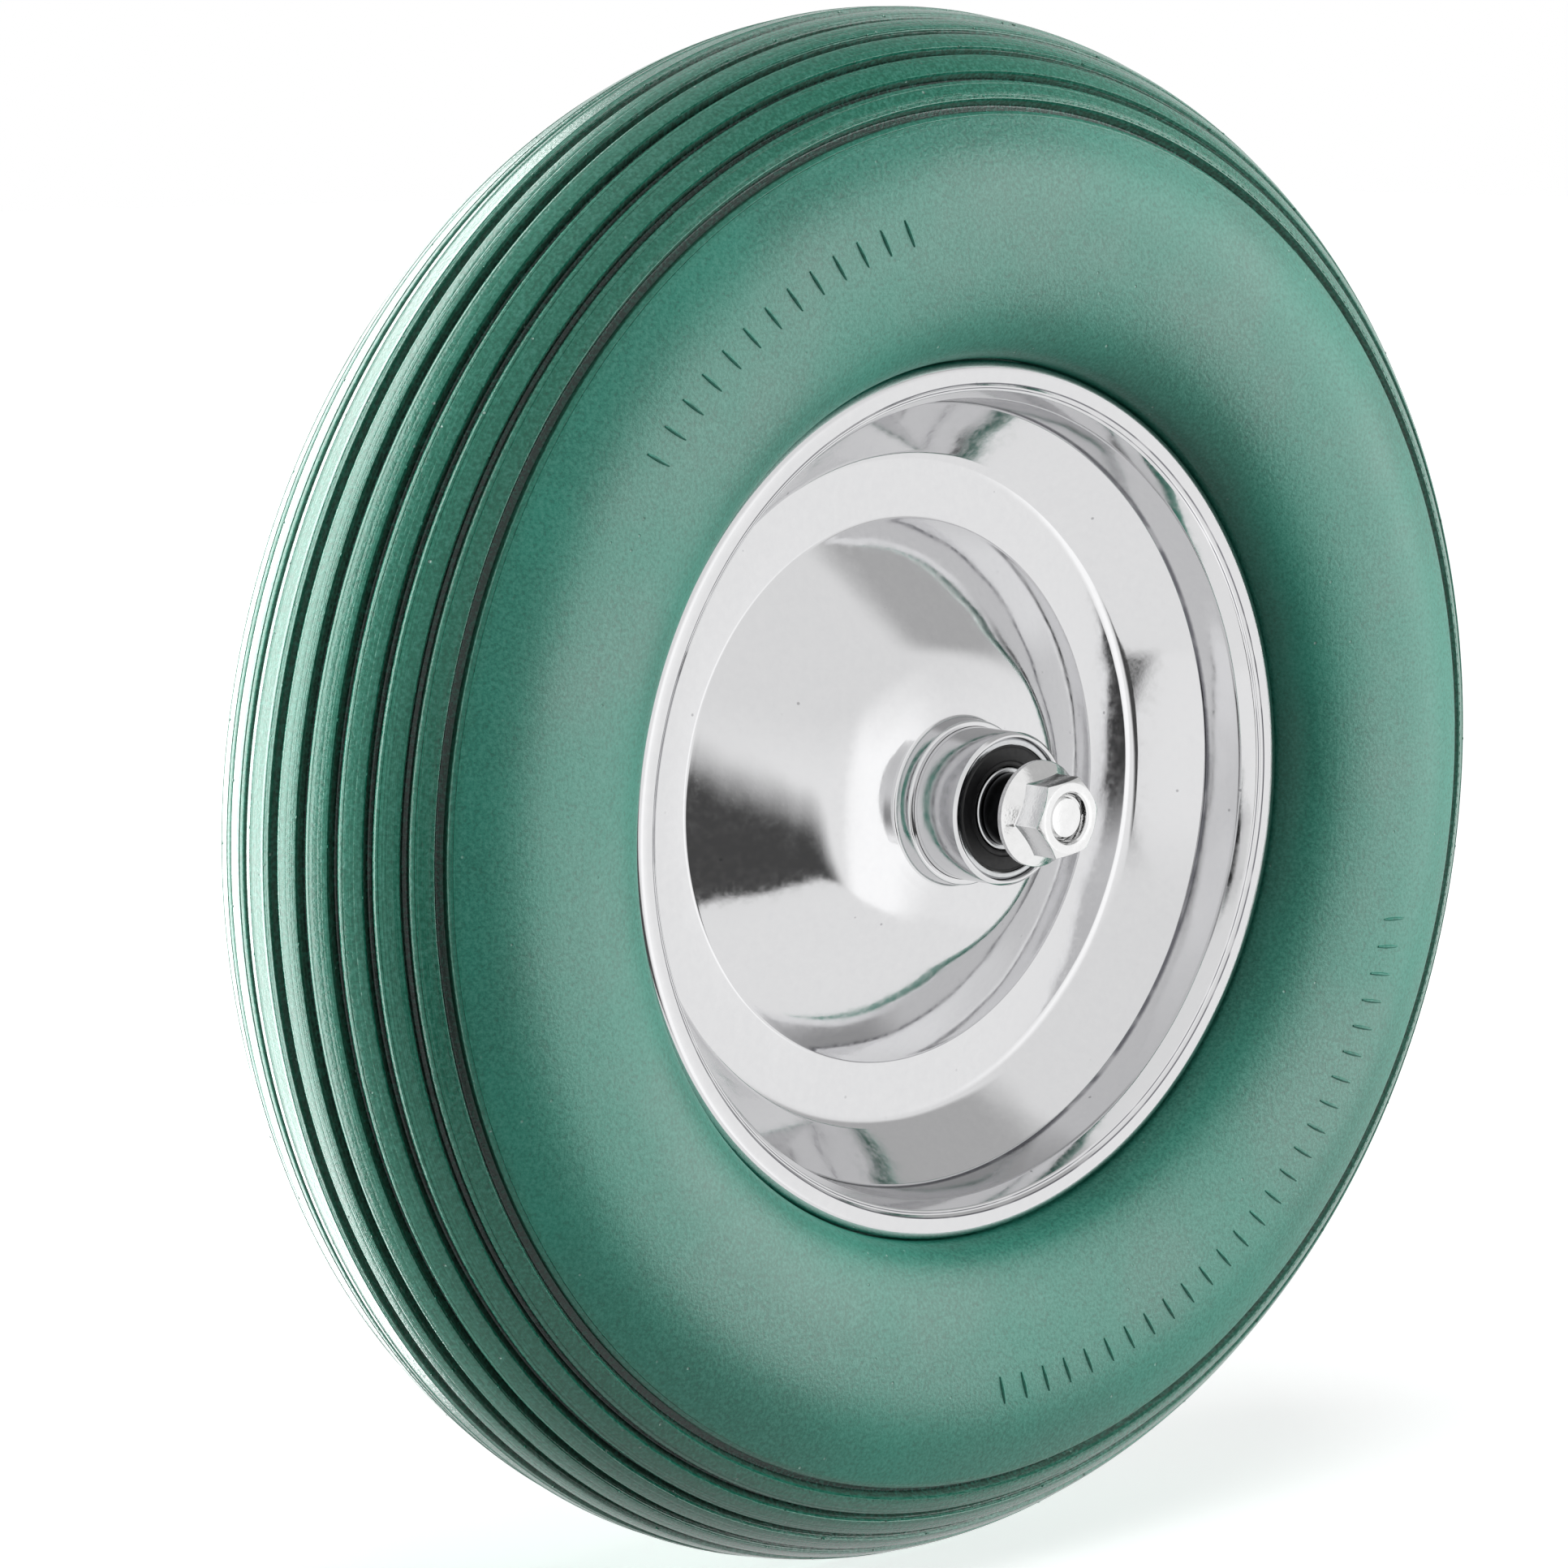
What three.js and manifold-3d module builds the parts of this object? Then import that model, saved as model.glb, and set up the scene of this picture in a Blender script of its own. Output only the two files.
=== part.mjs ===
// A solid-tyred wheelbarrow wheel: ribbed foam tyre, two pressed rim halves on a hub tube, two sealed
// ball bearings, and the through bolt with its spacers and flange nut. Millimetres. The axle lies
// along Y through the origin at the wheel's centre; the nut is on the -Y side, and +Z is up.
import * as THREE from 'three';
import { mergeVertices } from 'three/addons/utils/BufferGeometryUtils.js';
import Module from 'manifold-3d';

// Tyre: the tread is an arc of CROWN_RADIUS about a circle of radius CROWN_CENTRE.
const TYRE_RADIUS = 195;
const CROWN_RADIUS = 42.8;
const CROWN_CENTRE = TYRE_RADIUS - CROWN_RADIUS;
const TYRE_HALF_WIDTH = 45.4;
const GROOVES_PER_SIDE = 6;
const FIRST_GROOVE_DEG = 7.1;
const GROOVE_PITCH_DEG = 11.2;
const GROOVE_DEPTH = 2.8;
const GROOVE_HALF_WIDTH = 1.3;
// Sidewall stations between the last groove and the rim: radius, and inset from the full half width.
const SIDEWALL = [[161, 3], [148, 0], [131, 1.8], [118, 6], [111.5, 11.6]];

// Rim: two mirrored pressings, back to back on the wheel's mid-plane.
const SHEET = 1.8;
const HALF_SHEET = SHEET / 2;
const FLANGE_RADIUS = 109.3;
const FLANGE_FACE = 31.4;
const FLANGE_BEND_RADIUS = 104;
const FLANGE_BEND_DEPTH = 26.8;
const SEAT_RADIUS = 98.4;
const SEAT_DEPTH = 15.2;
const SEAT_FLARE = 1.5;
const WEB_OUTER_RADIUS = 84;
const WEB_INNER_RADIUS = 69;
const DOME_RADIUS = 38;
const DOME_HEIGHT = 21.2;
const CROWN_RING_RADIUS = 27;
const CROWN_RING_HEIGHT = 24.4;
const NECK_FOOT = 26;
const NECK_FACE = 30;
const NECK_WALL = 1.4;
const NECK_TAPER = 0.4;

// Hub tube and its two 15 x 35 x 11 mm ball bearings.
const HUB_RADIUS = 19;
const HUB_HALF_LENGTH = 44.5;
const HUB_BORE_RADIUS = 16.2;
const HUB_CHAMFER = 0.7;
const BEARING_BORE_RADIUS = 7.5;
const BEARING_RADIUS = 17.5;
const BEARING_HALF_WIDTH = 5.5;
const BEARING_CENTRE = 38;
const BALL_RADIUS = 5.953 / 2;
const BALL_PITCH_RADIUS = 12.5;
const BALL_COUNT = 8;
const INNER_LAND_RADIUS = 10.3;
const OUTER_LAND_RADIUS = 14.7;
const SEAL_SEAT_RADIUS = 15.8;
const SEAL_INSIDE = 4.3;
const SEAL_THICKNESS = 1;
const RACE_PLAY = 0.15;
const RACE_HALF_FLOOR = 1;
const RACE_HALF_MOUTH = 2.6;
const RING_CHAMFER = 0.6;
const CAGE_INNER_RADIUS = 11.6;
const CAGE_OUTER_RADIUS = 13.4;
const CAGE_HALF_WIDTH = 3.8;
const POCKET_RADIUS = 3.2;
const CAGE_POCKET_LENGTH = 6;
const POCKET_FACETS = 12;
const BALL_FACETS = 10;

// M12 axle bolt, its stepped spacers and its flange nut.
const CLAMP_FACE = 53.1;
const BOLT_RADIUS = 5.9;
const BOLT_TIP_CHAMFER = 1;
const SPACER_RADIUS = 9.1;
const SPACER_BORE_RADIUS = 6.25;
const SPIGOT_SHORTFALL = 1;
const DISTANCE_TUBE_RADIUS = 9.5;
const HEX_ACROSS_FLATS = 18;
const HEX_CORNER_RADIUS = HEX_ACROSS_FLATS / Math.sqrt(3);
const HEX_FACE_RADIUS = 8.6;
const NUT_HEIGHT = 12;
const NUT_BORE_RADIUS = 6.2;
const NUT_MOUTH_RADIUS = 6.5;
const NUT_FLANGE_RADIUS = 13.1;
const NUT_FLANGE_EDGE = 1.8;
const NUT_FLANGE_HEIGHT = 4.6;
const NUT_FLANGE_TOP_RADIUS = 8;
const HEX_CHAMFER_DEG = 30;
const CUT_MARGIN = 1;
const TIP_RECESS = 1.2;
const HEX_TURN_DEG = 9;

// Gaps between pieces that touch on the real wheel.
const GAP = 0.3;
const SEAT_GAP = 0.1;
const BEAD_GAP = 0.4;

// Facets round the axle.
const WHEEL_FACETS = 48;
const HUB_FACETS = 32;
const BEARING_FACETS = 24;

const wasm = await Module();
wasm.setup();

const radians = THREE.MathUtils.degToRad;

function metal(color, roughness) {
  return new THREE.MeshStandardMaterial({ color, roughness, metalness: 1 });
}

function rubber(color, roughness) {
  return new THREE.MeshStandardMaterial({ color, roughness, metalness: 0 });
}

const FOAM_GREEN = () => rubber(0x5f9384, 0.75);
const CHROME = () => metal(0xd8d9dc, 0.12);
const ZINC = () => metal(0xc9c8c2, 0.3);
const BEARING_STEEL = () => metal(0xa9abad, 0.2);
const DARK_STEEL = () => metal(0x3a3a3c, 0.4);
const BRASS = () => metal(0xb08d4a, 0.35);
const BLACK_SEAL = () => rubber(0x141414, 0.5);

function addMesh(group, name, geometry, material) {
  const mesh = new THREE.Mesh(geometry, material);
  mesh.name = name;
  group.add(mesh);
  return mesh;
}

// Twice the area that a list of [radius, y] points encloses, positive when it runs anticlockwise.
function signedArea(points) {
  return points.reduce((sum, [r, y], i) => {
    const [nextR, nextY] = points[(i + 1) % points.length];
    return sum + r * nextY - nextR * y;
  }, 0);
}

// Turns a closed outline of [radius, y] points about the axle, with its faces pointing out.
function ring(outline, facets) {
  const points = signedArea(outline) > 0 ? [...outline] : [...outline].reverse();
  points.push(points[0]);
  return new THREE.LatheGeometry(points.map(([r, y]) => new THREE.Vector2(r, y)), facets);
}

// Turns an outline that starts and ends on the axle.
function solidOfRevolution(outline, facets) {
  const points = signedArea(outline) > 0 ? outline : [...outline].reverse();
  return new THREE.LatheGeometry(points.map(([r, y]) => new THREE.Vector2(r, y)), facets);
}

// Adds the mirror image of a half outline that runs from the mid-plane out to one side.
function withMirror(half) {
  const offMidPlane = half.filter(([, y]) => y !== 0);
  const mirrored = offMidPlane.map(([r, y]) => [r, -y]).reverse();
  return [...mirrored, ...half];
}

function toSolid(geometry) {
  const bare = geometry.clone();
  bare.deleteAttribute('normal');
  bare.deleteAttribute('uv');
  const merged = mergeVertices(bare, 1e-4);
  const mesh = new wasm.Mesh({
    numProp: 3,
    vertProperties: new Float32Array(merged.attributes.position.array),
    triVerts: new Uint32Array(merged.index.array),
  });
  return new wasm.Manifold(mesh);
}

function toGeometry(solid) {
  const mesh = solid.getMesh();
  const geometry = new THREE.BufferGeometry();
  geometry.setAttribute('position', new THREE.BufferAttribute(mesh.vertProperties, 3));
  geometry.setIndex(new THREE.BufferAttribute(mesh.triVerts, 1));
  geometry.computeVertexNormals();
  return geometry;
}

// A point on the tread's arc, measured from the mid-plane, with an inset below its surface.
function crownPoint(degrees, inset = 0) {
  const reach = CROWN_RADIUS - inset;
  return [CROWN_CENTRE + reach * Math.cos(radians(degrees)), reach * Math.sin(radians(degrees))];
}

function grooveOutline(index) {
  const centre = FIRST_GROOVE_DEG + index * GROOVE_PITCH_DEG;
  const spread = THREE.MathUtils.radToDeg(GROOVE_HALF_WIDTH / CROWN_RADIUS);
  return [crownPoint(centre - spread), crownPoint(centre, GROOVE_DEPTH), crownPoint(centre + spread)];
}

// The sidewall swells from the last groove's lip to the full width, then dips to the rim's flange.
function sidewallOutline() {
  const wall = SIDEWALL.map(([radius, inset]) => [radius, TYRE_HALF_WIDTH - inset]);
  return [...wall, [FLANGE_RADIUS + BEAD_GAP, FLANGE_FACE - BEAD_GAP]];
}

// The foam's inside follows the back of the rim half, a small gap clear of the sheet.
function beadOutline() {
  const back = FLANGE_FACE - SHEET - GAP;
  const seat = SEAT_RADIUS + SHEET + BEAD_GAP;
  return [
    [FLANGE_RADIUS + BEAD_GAP, back],
    [FLANGE_BEND_RADIUS + HALF_SHEET + BEAD_GAP, back],
    [seat + SEAT_FLARE, FLANGE_BEND_DEPTH - SHEET],
    [seat, SEAT_DEPTH - HALF_SHEET - GAP],
    [WEB_OUTER_RADIUS + SHEET, GAP],
  ];
}

function tyreGeometry() {
  const grooves = Array.from({ length: GROOVES_PER_SIDE }, (_, index) => grooveOutline(index)).flat();
  const half = [crownPoint(0), ...grooves, ...sidewallOutline(), ...beadOutline()];
  return ring(withMirror(half), WHEEL_FACETS);
}

// The show face of one pressing on the +Y side, from the neck round the hub out to the flange's edge.
function rimShowFace() {
  const neckInside = HUB_RADIUS + SEAT_GAP;
  const webFace = GAP / 2 + SHEET;
  return [
    [neckInside, NECK_FACE],
    [neckInside + NECK_WALL, NECK_FACE],
    [neckInside + NECK_WALL + NECK_TAPER, NECK_FOOT],
    [CROWN_RING_RADIUS, CROWN_RING_HEIGHT],
    [DOME_RADIUS, DOME_HEIGHT],
    [WEB_INNER_RADIUS, webFace],
    [WEB_OUTER_RADIUS, webFace],
    [SEAT_RADIUS, SEAT_DEPTH],
    [SEAT_RADIUS + SEAT_FLARE, FLANGE_BEND_DEPTH],
    [FLANGE_BEND_RADIUS, FLANGE_FACE],
    [FLANGE_RADIUS, FLANGE_FACE],
  ];
}

// Its back face runs a sheet's thickness behind, from the flange's edge in to the neck.
function rimBackFace() {
  return [
    [FLANGE_RADIUS, FLANGE_FACE - SHEET],
    [FLANGE_BEND_RADIUS + HALF_SHEET, FLANGE_FACE - SHEET],
    [SEAT_RADIUS + SEAT_FLARE + SHEET, FLANGE_BEND_DEPTH - HALF_SHEET],
    [SEAT_RADIUS + SHEET, SEAT_DEPTH - HALF_SHEET],
    [WEB_OUTER_RADIUS + HALF_SHEET, GAP / 2],
    [WEB_INNER_RADIUS - HALF_SHEET, GAP / 2],
    [DOME_RADIUS - HALF_SHEET, DOME_HEIGHT - SHEET],
    [HUB_RADIUS + SEAT_GAP, CROWN_RING_HEIGHT - SHEET],
  ];
}

function rimHalfGeometry() {
  return ring([...rimShowFace(), ...rimBackFace()], WHEEL_FACETS);
}

function hubTubeGeometry() {
  const seat = BEARING_RADIUS + SEAT_GAP;
  const shoulder = BEARING_CENTRE - BEARING_HALF_WIDTH - GAP;
  const outside = [
    [HUB_RADIUS, HUB_HALF_LENGTH - HUB_CHAMFER],
    [HUB_RADIUS - HUB_CHAMFER, HUB_HALF_LENGTH],
  ];
  const inside = [
    [seat, HUB_HALF_LENGTH],
    [seat, shoulder],
    [HUB_BORE_RADIUS, shoulder],
  ];
  return ring(withMirror([...outside, ...inside]), HUB_FACETS);
}

function outerRingGeometry() {
  const floor = BALL_PITCH_RADIUS + BALL_RADIUS + RACE_PLAY;
  const sealBack = SEAL_INSIDE - SEAT_GAP;
  const groove = [
    [floor, RACE_HALF_FLOOR],
    [OUTER_LAND_RADIUS, RACE_HALF_MOUTH],
    [OUTER_LAND_RADIUS, sealBack],
    [SEAL_SEAT_RADIUS, sealBack],
    [SEAL_SEAT_RADIUS, BEARING_HALF_WIDTH],
    [BEARING_RADIUS - RING_CHAMFER, BEARING_HALF_WIDTH],
    [BEARING_RADIUS, BEARING_HALF_WIDTH - RING_CHAMFER],
  ];
  return ring(withMirror(groove), BEARING_FACETS);
}

function innerRingGeometry() {
  const floor = BALL_PITCH_RADIUS - BALL_RADIUS - RACE_PLAY;
  const groove = [
    [floor, RACE_HALF_FLOOR],
    [INNER_LAND_RADIUS, RACE_HALF_MOUTH],
    [INNER_LAND_RADIUS, BEARING_HALF_WIDTH],
    [BEARING_BORE_RADIUS + SEAT_GAP, BEARING_HALF_WIDTH],
  ];
  return ring(withMirror(groove), BEARING_FACETS);
}

function sealGeometry() {
  const bore = INNER_LAND_RADIUS + SEAT_GAP;
  const rim = SEAL_SEAT_RADIUS - SEAT_GAP;
  const face = SEAL_INSIDE + SEAL_THICKNESS;
  return ring([[bore, SEAL_INSIDE], [rim, SEAL_INSIDE], [rim, face], [bore, face]], BEARING_FACETS);
}

// The cage is a band with one round pocket through it for each ball.
function cageGeometry() {
  const band = ring([
    [CAGE_INNER_RADIUS, -CAGE_HALF_WIDTH],
    [CAGE_OUTER_RADIUS, -CAGE_HALF_WIDTH],
    [CAGE_OUTER_RADIUS, CAGE_HALF_WIDTH],
    [CAGE_INNER_RADIUS, CAGE_HALF_WIDTH],
  ], BEARING_FACETS);
  let solid = toSolid(band);
  for (let i = 0; i < BALL_COUNT; i += 1) {
    const pocket = new THREE.CylinderGeometry(POCKET_RADIUS, POCKET_RADIUS, CAGE_POCKET_LENGTH, POCKET_FACETS);
    pocket.rotateX(Math.PI / 2);
    pocket.translate(0, 0, BALL_PITCH_RADIUS);
    pocket.rotateY(i * 2 * Math.PI / BALL_COUNT);
    solid = solid.subtract(toSolid(pocket));
  }
  return toGeometry(solid);
}

// A stepped spacer: its spigot goes into the bearing's bore, and its shoulder stands off the inner ring.
function spacerGeometry() {
  const shoulder = BEARING_CENTRE + BEARING_HALF_WIDTH + GAP;
  const spigotEnd = BEARING_CENTRE - BEARING_HALF_WIDTH + SPIGOT_SHORTFALL;
  return ring([
    [SPACER_BORE_RADIUS, spigotEnd],
    [BEARING_BORE_RADIUS, spigotEnd],
    [BEARING_BORE_RADIUS, shoulder],
    [SPACER_RADIUS, shoulder],
    [SPACER_RADIUS, CLAMP_FACE - GAP],
    [SPACER_BORE_RADIUS, CLAMP_FACE - GAP],
  ], BEARING_FACETS);
}

function distanceTubeGeometry() {
  const end = BEARING_CENTRE - BEARING_HALF_WIDTH - GAP;
  return ring([
    [SPACER_BORE_RADIUS, -end],
    [DISTANCE_TUBE_RADIUS, -end],
    [DISTANCE_TUBE_RADIUS, end],
    [SPACER_BORE_RADIUS, end],
  ], BEARING_FACETS);
}

// A flanged hexagon standing on CLAMP_FACE and reaching out along +Y, its outer corners chamfered.
function flangedHexagon() {
  const top = CLAMP_FACE + NUT_HEIGHT;
  const coneDrop = (HEX_CORNER_RADIUS - HEX_FACE_RADIUS) * Math.tan(radians(HEX_CHAMFER_DEG));
  const hexLength = NUT_HEIGHT - NUT_FLANGE_EDGE;
  const prism = new THREE.CylinderGeometry(HEX_CORNER_RADIUS, HEX_CORNER_RADIUS, hexLength, 6);
  prism.rotateY(Math.PI / 2);
  prism.translate(0, top - hexLength / 2, 0);
  const trim = solidOfRevolution([
    [0, CLAMP_FACE],
    [HEX_CORNER_RADIUS + CUT_MARGIN, CLAMP_FACE],
    [HEX_CORNER_RADIUS + CUT_MARGIN, top - coneDrop],
    [HEX_CORNER_RADIUS, top - coneDrop],
    [HEX_FACE_RADIUS, top],
    [0, top],
  ], BEARING_FACETS);
  const flange = solidOfRevolution([
    [0, CLAMP_FACE],
    [NUT_FLANGE_RADIUS, CLAMP_FACE],
    [NUT_FLANGE_RADIUS, CLAMP_FACE + NUT_FLANGE_EDGE],
    [NUT_FLANGE_TOP_RADIUS, CLAMP_FACE + NUT_FLANGE_HEIGHT],
    [0, CLAMP_FACE + NUT_FLANGE_HEIGHT],
  ], BEARING_FACETS);
  return toSolid(prism).intersect(toSolid(trim)).add(toSolid(flange));
}

function boltGeometry() {
  const tip = -(CLAMP_FACE + NUT_HEIGHT - TIP_RECESS);
  const shank = solidOfRevolution([
    [0, tip],
    [BOLT_RADIUS - BOLT_TIP_CHAMFER, tip],
    [BOLT_RADIUS, tip + BOLT_TIP_CHAMFER],
    [BOLT_RADIUS, CLAMP_FACE + NUT_FLANGE_EDGE],
    [0, CLAMP_FACE + NUT_FLANGE_EDGE],
  ], BEARING_FACETS);
  return toGeometry(flangedHexagon().add(toSolid(shank)));
}

// The nut is the same flanged hexagon, bored right through with a countersink at its outer face.
function nutGeometry() {
  const top = CLAMP_FACE + NUT_HEIGHT;
  const bore = solidOfRevolution([
    [0, CLAMP_FACE - CUT_MARGIN],
    [NUT_BORE_RADIUS, CLAMP_FACE - CUT_MARGIN],
    [NUT_BORE_RADIUS, top - (NUT_MOUTH_RADIUS - NUT_BORE_RADIUS)],
    [NUT_MOUTH_RADIUS, top],
    [NUT_MOUTH_RADIUS, top + CUT_MARGIN],
    [0, top + CUT_MARGIN],
  ], BEARING_FACETS);
  return toGeometry(flangedHexagon().subtract(toSolid(bore)));
}

function addWheelBody(group) {
  addMesh(group, 'tyre', tyreGeometry(), FOAM_GREEN());
  addMesh(group, 'rim_half_head_side', rimHalfGeometry(), CHROME());
  const nutSide = addMesh(group, 'rim_half_nut_side', rimHalfGeometry(), CHROME());
  nutSide.rotation.x = Math.PI;
  addMesh(group, 'hub_tube', hubTubeGeometry(), CHROME());
}

// A bearing group stands at the middle of its bearing, turned so that +Y points out of the hub.
function addBearing(group, side, turn) {
  const bearing = new THREE.Group();
  bearing.rotation.x = turn;
  const seat = new THREE.Group();
  seat.position.y = BEARING_CENTRE;
  bearing.add(seat);
  addMesh(seat, `bearing_${side}_outer_ring`, outerRingGeometry(), BEARING_STEEL());
  addMesh(seat, `bearing_${side}_inner_ring`, innerRingGeometry(), BEARING_STEEL());
  addMesh(seat, `bearing_${side}_cage`, cageGeometry(), BRASS());
  addMesh(seat, `bearing_${side}_outer_seal`, sealGeometry(), BLACK_SEAL());
  const innerSeal = addMesh(seat, `bearing_${side}_inner_seal`, sealGeometry(), BLACK_SEAL());
  innerSeal.rotation.x = Math.PI;
  for (let i = 0; i < BALL_COUNT; i += 1) {
    const ball = addMesh(
      seat,
      `bearing_${side}_ball_${i + 1}`,
      new THREE.SphereGeometry(BALL_RADIUS, BALL_FACETS, BALL_FACETS / 2),
      BEARING_STEEL(),
    );
    const angle = i * 2 * Math.PI / BALL_COUNT;
    ball.position.set(BALL_PITCH_RADIUS * Math.sin(angle), 0, BALL_PITCH_RADIUS * Math.cos(angle));
  }
  group.add(bearing);
}

function addAxle(group) {
  addMesh(group, 'distance_tube', distanceTubeGeometry(), DARK_STEEL());
  addMesh(group, 'spacer_head_side', spacerGeometry(), DARK_STEEL());
  const nutSpacer = addMesh(group, 'spacer_nut_side', spacerGeometry(), DARK_STEEL());
  nutSpacer.rotation.x = Math.PI;
  addMesh(group, 'axle_bolt', boltGeometry(), ZINC());
  const nut = addMesh(group, 'flange_nut', nutGeometry(), ZINC());
  nut.rotation.set(Math.PI, radians(HEX_TURN_DEG), 0);
}

const wheel = new THREE.Group();
addWheelBody(wheel);
addBearing(wheel, 'head_side', 0);
addBearing(wheel, 'nut_side', Math.PI);
addAxle(wheel);

export default wheel;
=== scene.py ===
# %% [markdown]
# # A barrow wheel with a solid green tyre
#
# The real wheel is a thick ring of polyurethane foam, moulded round two pressed and chromed rim
# halves. The halves are welded to a short hub tube, and the tube holds two sealed ball bearings.
# A long bolt goes through the bearings, with a black spacer on each side and a flange nut.
#
# The sizes and the joints come from the CAD model. This lesson gives each piece its fine shape
# and its finish. The axle lies along Y, the nut is on the -Y side, and +Z is up.

import math

import bmesh
import bpy
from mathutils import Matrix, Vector


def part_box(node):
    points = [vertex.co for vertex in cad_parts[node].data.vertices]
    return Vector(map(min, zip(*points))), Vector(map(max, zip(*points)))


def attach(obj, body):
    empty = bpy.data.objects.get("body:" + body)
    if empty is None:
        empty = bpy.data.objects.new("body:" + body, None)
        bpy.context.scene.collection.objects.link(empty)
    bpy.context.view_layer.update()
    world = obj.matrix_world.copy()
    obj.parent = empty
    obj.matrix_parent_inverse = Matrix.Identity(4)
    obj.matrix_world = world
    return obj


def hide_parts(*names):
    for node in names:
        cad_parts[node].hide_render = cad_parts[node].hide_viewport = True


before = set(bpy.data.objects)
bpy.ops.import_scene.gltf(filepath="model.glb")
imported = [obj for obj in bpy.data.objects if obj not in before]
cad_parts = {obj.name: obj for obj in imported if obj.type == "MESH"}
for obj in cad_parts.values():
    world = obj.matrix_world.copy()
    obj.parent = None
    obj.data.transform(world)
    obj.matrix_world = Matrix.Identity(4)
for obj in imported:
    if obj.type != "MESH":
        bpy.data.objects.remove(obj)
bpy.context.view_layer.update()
MM = 0.001

# %% [markdown]
# ## The camera
#
# The view is from the nut's side, well to the left of the axle and a little above it. A long lens
# keeps the tyre nearly round. The wheel's middle stands a little right of the camera's own line of
# sight, so the camera is put that far to the other side instead of being turned.

# %% Camera
CAMERA_AZIMUTH = math.radians(-41.4)
CAMERA_ELEVATION = math.radians(8.05)
CAMERA_DISTANCE = 1.3267
LENS_MM = 121.1
SENSOR_MM = 36
WHEEL_RIGHT_OF_SIGHT = 0.0263
WHEEL_BELOW_SIGHT = 0.0015

back = Vector((
    math.sin(CAMERA_AZIMUTH) * math.cos(CAMERA_ELEVATION),
    -math.cos(CAMERA_AZIMUTH) * math.cos(CAMERA_ELEVATION),
    math.sin(CAMERA_ELEVATION),
))
right = Vector((0, 0, 1)).cross(back).normalized()
up = back.cross(right)

camera_data = bpy.data.cameras.new("camera")
camera_data.lens = LENS_MM
camera_data.sensor_width = SENSOR_MM
camera = bpy.data.objects.new("camera", camera_data)
camera.location = back * CAMERA_DISTANCE - right * WHEEL_RIGHT_OF_SIGHT + up * WHEEL_BELOW_SIGHT
camera.rotation_mode = "QUATERNION"
camera.rotation_quaternion = back.to_track_quat("Z", "Y")
bpy.context.scene.collection.objects.link(camera)
bpy.context.scene.camera = camera

print("camera at", [round(x, 3) for x in camera.location])

# %% [markdown]
# ## Small helpers for node trees
#
# Both finishes and Geometry Nodes are trees of nodes. `place` adds one node and fills in its
# inputs, either with a plain value or with another node's output.

# %% Node helpers
def place(tree, kind, inputs=None, **settings):
    """Adds a node. inputs maps a socket's name or number to a value or to another node's output."""
    node = tree.nodes.new(kind)
    for key, value in settings.items():
        setattr(node, key, value)
    for key, value in (inputs or {}).items():
        if isinstance(value, bpy.types.NodeSocket):
            tree.links.new(value, node.inputs[key])
        else:
            node.inputs[key].default_value = value
    return node


def calc(tree, operation, a, b=0.0):
    """One sum on two numbers."""
    return place(tree, "ShaderNodeMath", {0: a, 1: b}, operation=operation).outputs[0]


def fade(tree, value, start, end, low=0.0, high=1.0):
    """Goes smoothly from low to high while value goes from start to end."""
    inputs = {"Value": value, "From Min": start, "From Max": end, "To Min": low, "To Max": high}
    return place(tree, "ShaderNodeMapRange", inputs, interpolation_type="SMOOTHSTEP").outputs[0]


def noise(tree, where, per_metre, detail=2.0, roughness=0.5):
    """Soft random values, with about per_metre blobs in a metre."""
    inputs = {"Vector": where, "Scale": per_metre, "Detail": detail, "Roughness": roughness}
    return place(tree, "ShaderNodeTexNoise", inputs).outputs[0]


def length(tree, vector):
    """How long a vector is."""
    return place(tree, "ShaderNodeVectorMath", {0: vector}, operation="LENGTH").outputs["Value"]


def tint(tree, factor, first, second):
    """Mixes two colours, or two outputs that carry colours."""
    inputs = {0: factor, 6: first, 7: second}
    return place(tree, "ShaderNodeMix", inputs, data_type="RGBA").outputs[2]


# %% [markdown]
# ## Studio
#
# The wheel stands on a plain pale floor against white. Chrome shows whatever is round it, so what
# matters most is the room that the rim mirrors. It has white walls and a white floor. A charcoal
# screen with a leaning, soft right edge stands beside the camera, one stretch of wall is a brighter
# window, and part of the ceiling is dim. The room is painted on the world from the direction of
# each ray, by its bearing and its height. The camera itself sees white.

# %% The room that the chrome mirrors
SCREEN_LEFT = math.radians(-33)
SCREEN_RIGHT = math.radians(-1)
SCREEN_LEAN = math.radians(45)
SCREEN_LIGHT = 0.079
WINDOW_LEFT = math.radians(6)
WINDOW_RIGHT = math.radians(34)
WINDOW_LIGHT = 1.38
CRISP_EDGE = math.radians(3)
SOFT_EDGE = math.radians(8)
WALL_LIGHT = 1.09
WALL_TOP = 0.42
WALL_FOOT = -0.49
FOOT_EDGE = 0.03
CEILING_LIGHT = 0.97
DIM_CEILING = Vector((0.68, -0.12, 0.72)).normalized()
DIM_LIGHT = 0.54
DIM_EDGE = 0.77
DIM_CORE = 0.89
FLOOR_LIGHT = 1.04
ROOM_ON_DULL_SURFACES = 0.082

world = bpy.data.worlds.new("studio")
world.use_nodes = True
bpy.context.scene.world = world
room = world.node_tree
room.nodes.clear()


def facing(direction, axis):
    """How closely a ray's direction points along an axis: 1 is straight at it."""
    inputs = {0: direction, 1: tuple(axis)}
    return place(room, "ShaderNodeVectorMath", inputs, operation="DOT_PRODUCT").outputs["Value"]


def blend(factor, first, second):
    """A number that goes from first to second while factor goes from 0 to 1."""
    return place(room, "ShaderNodeMix", {0: factor, 2: first, 3: second}, data_type="FLOAT").outputs[0]


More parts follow.
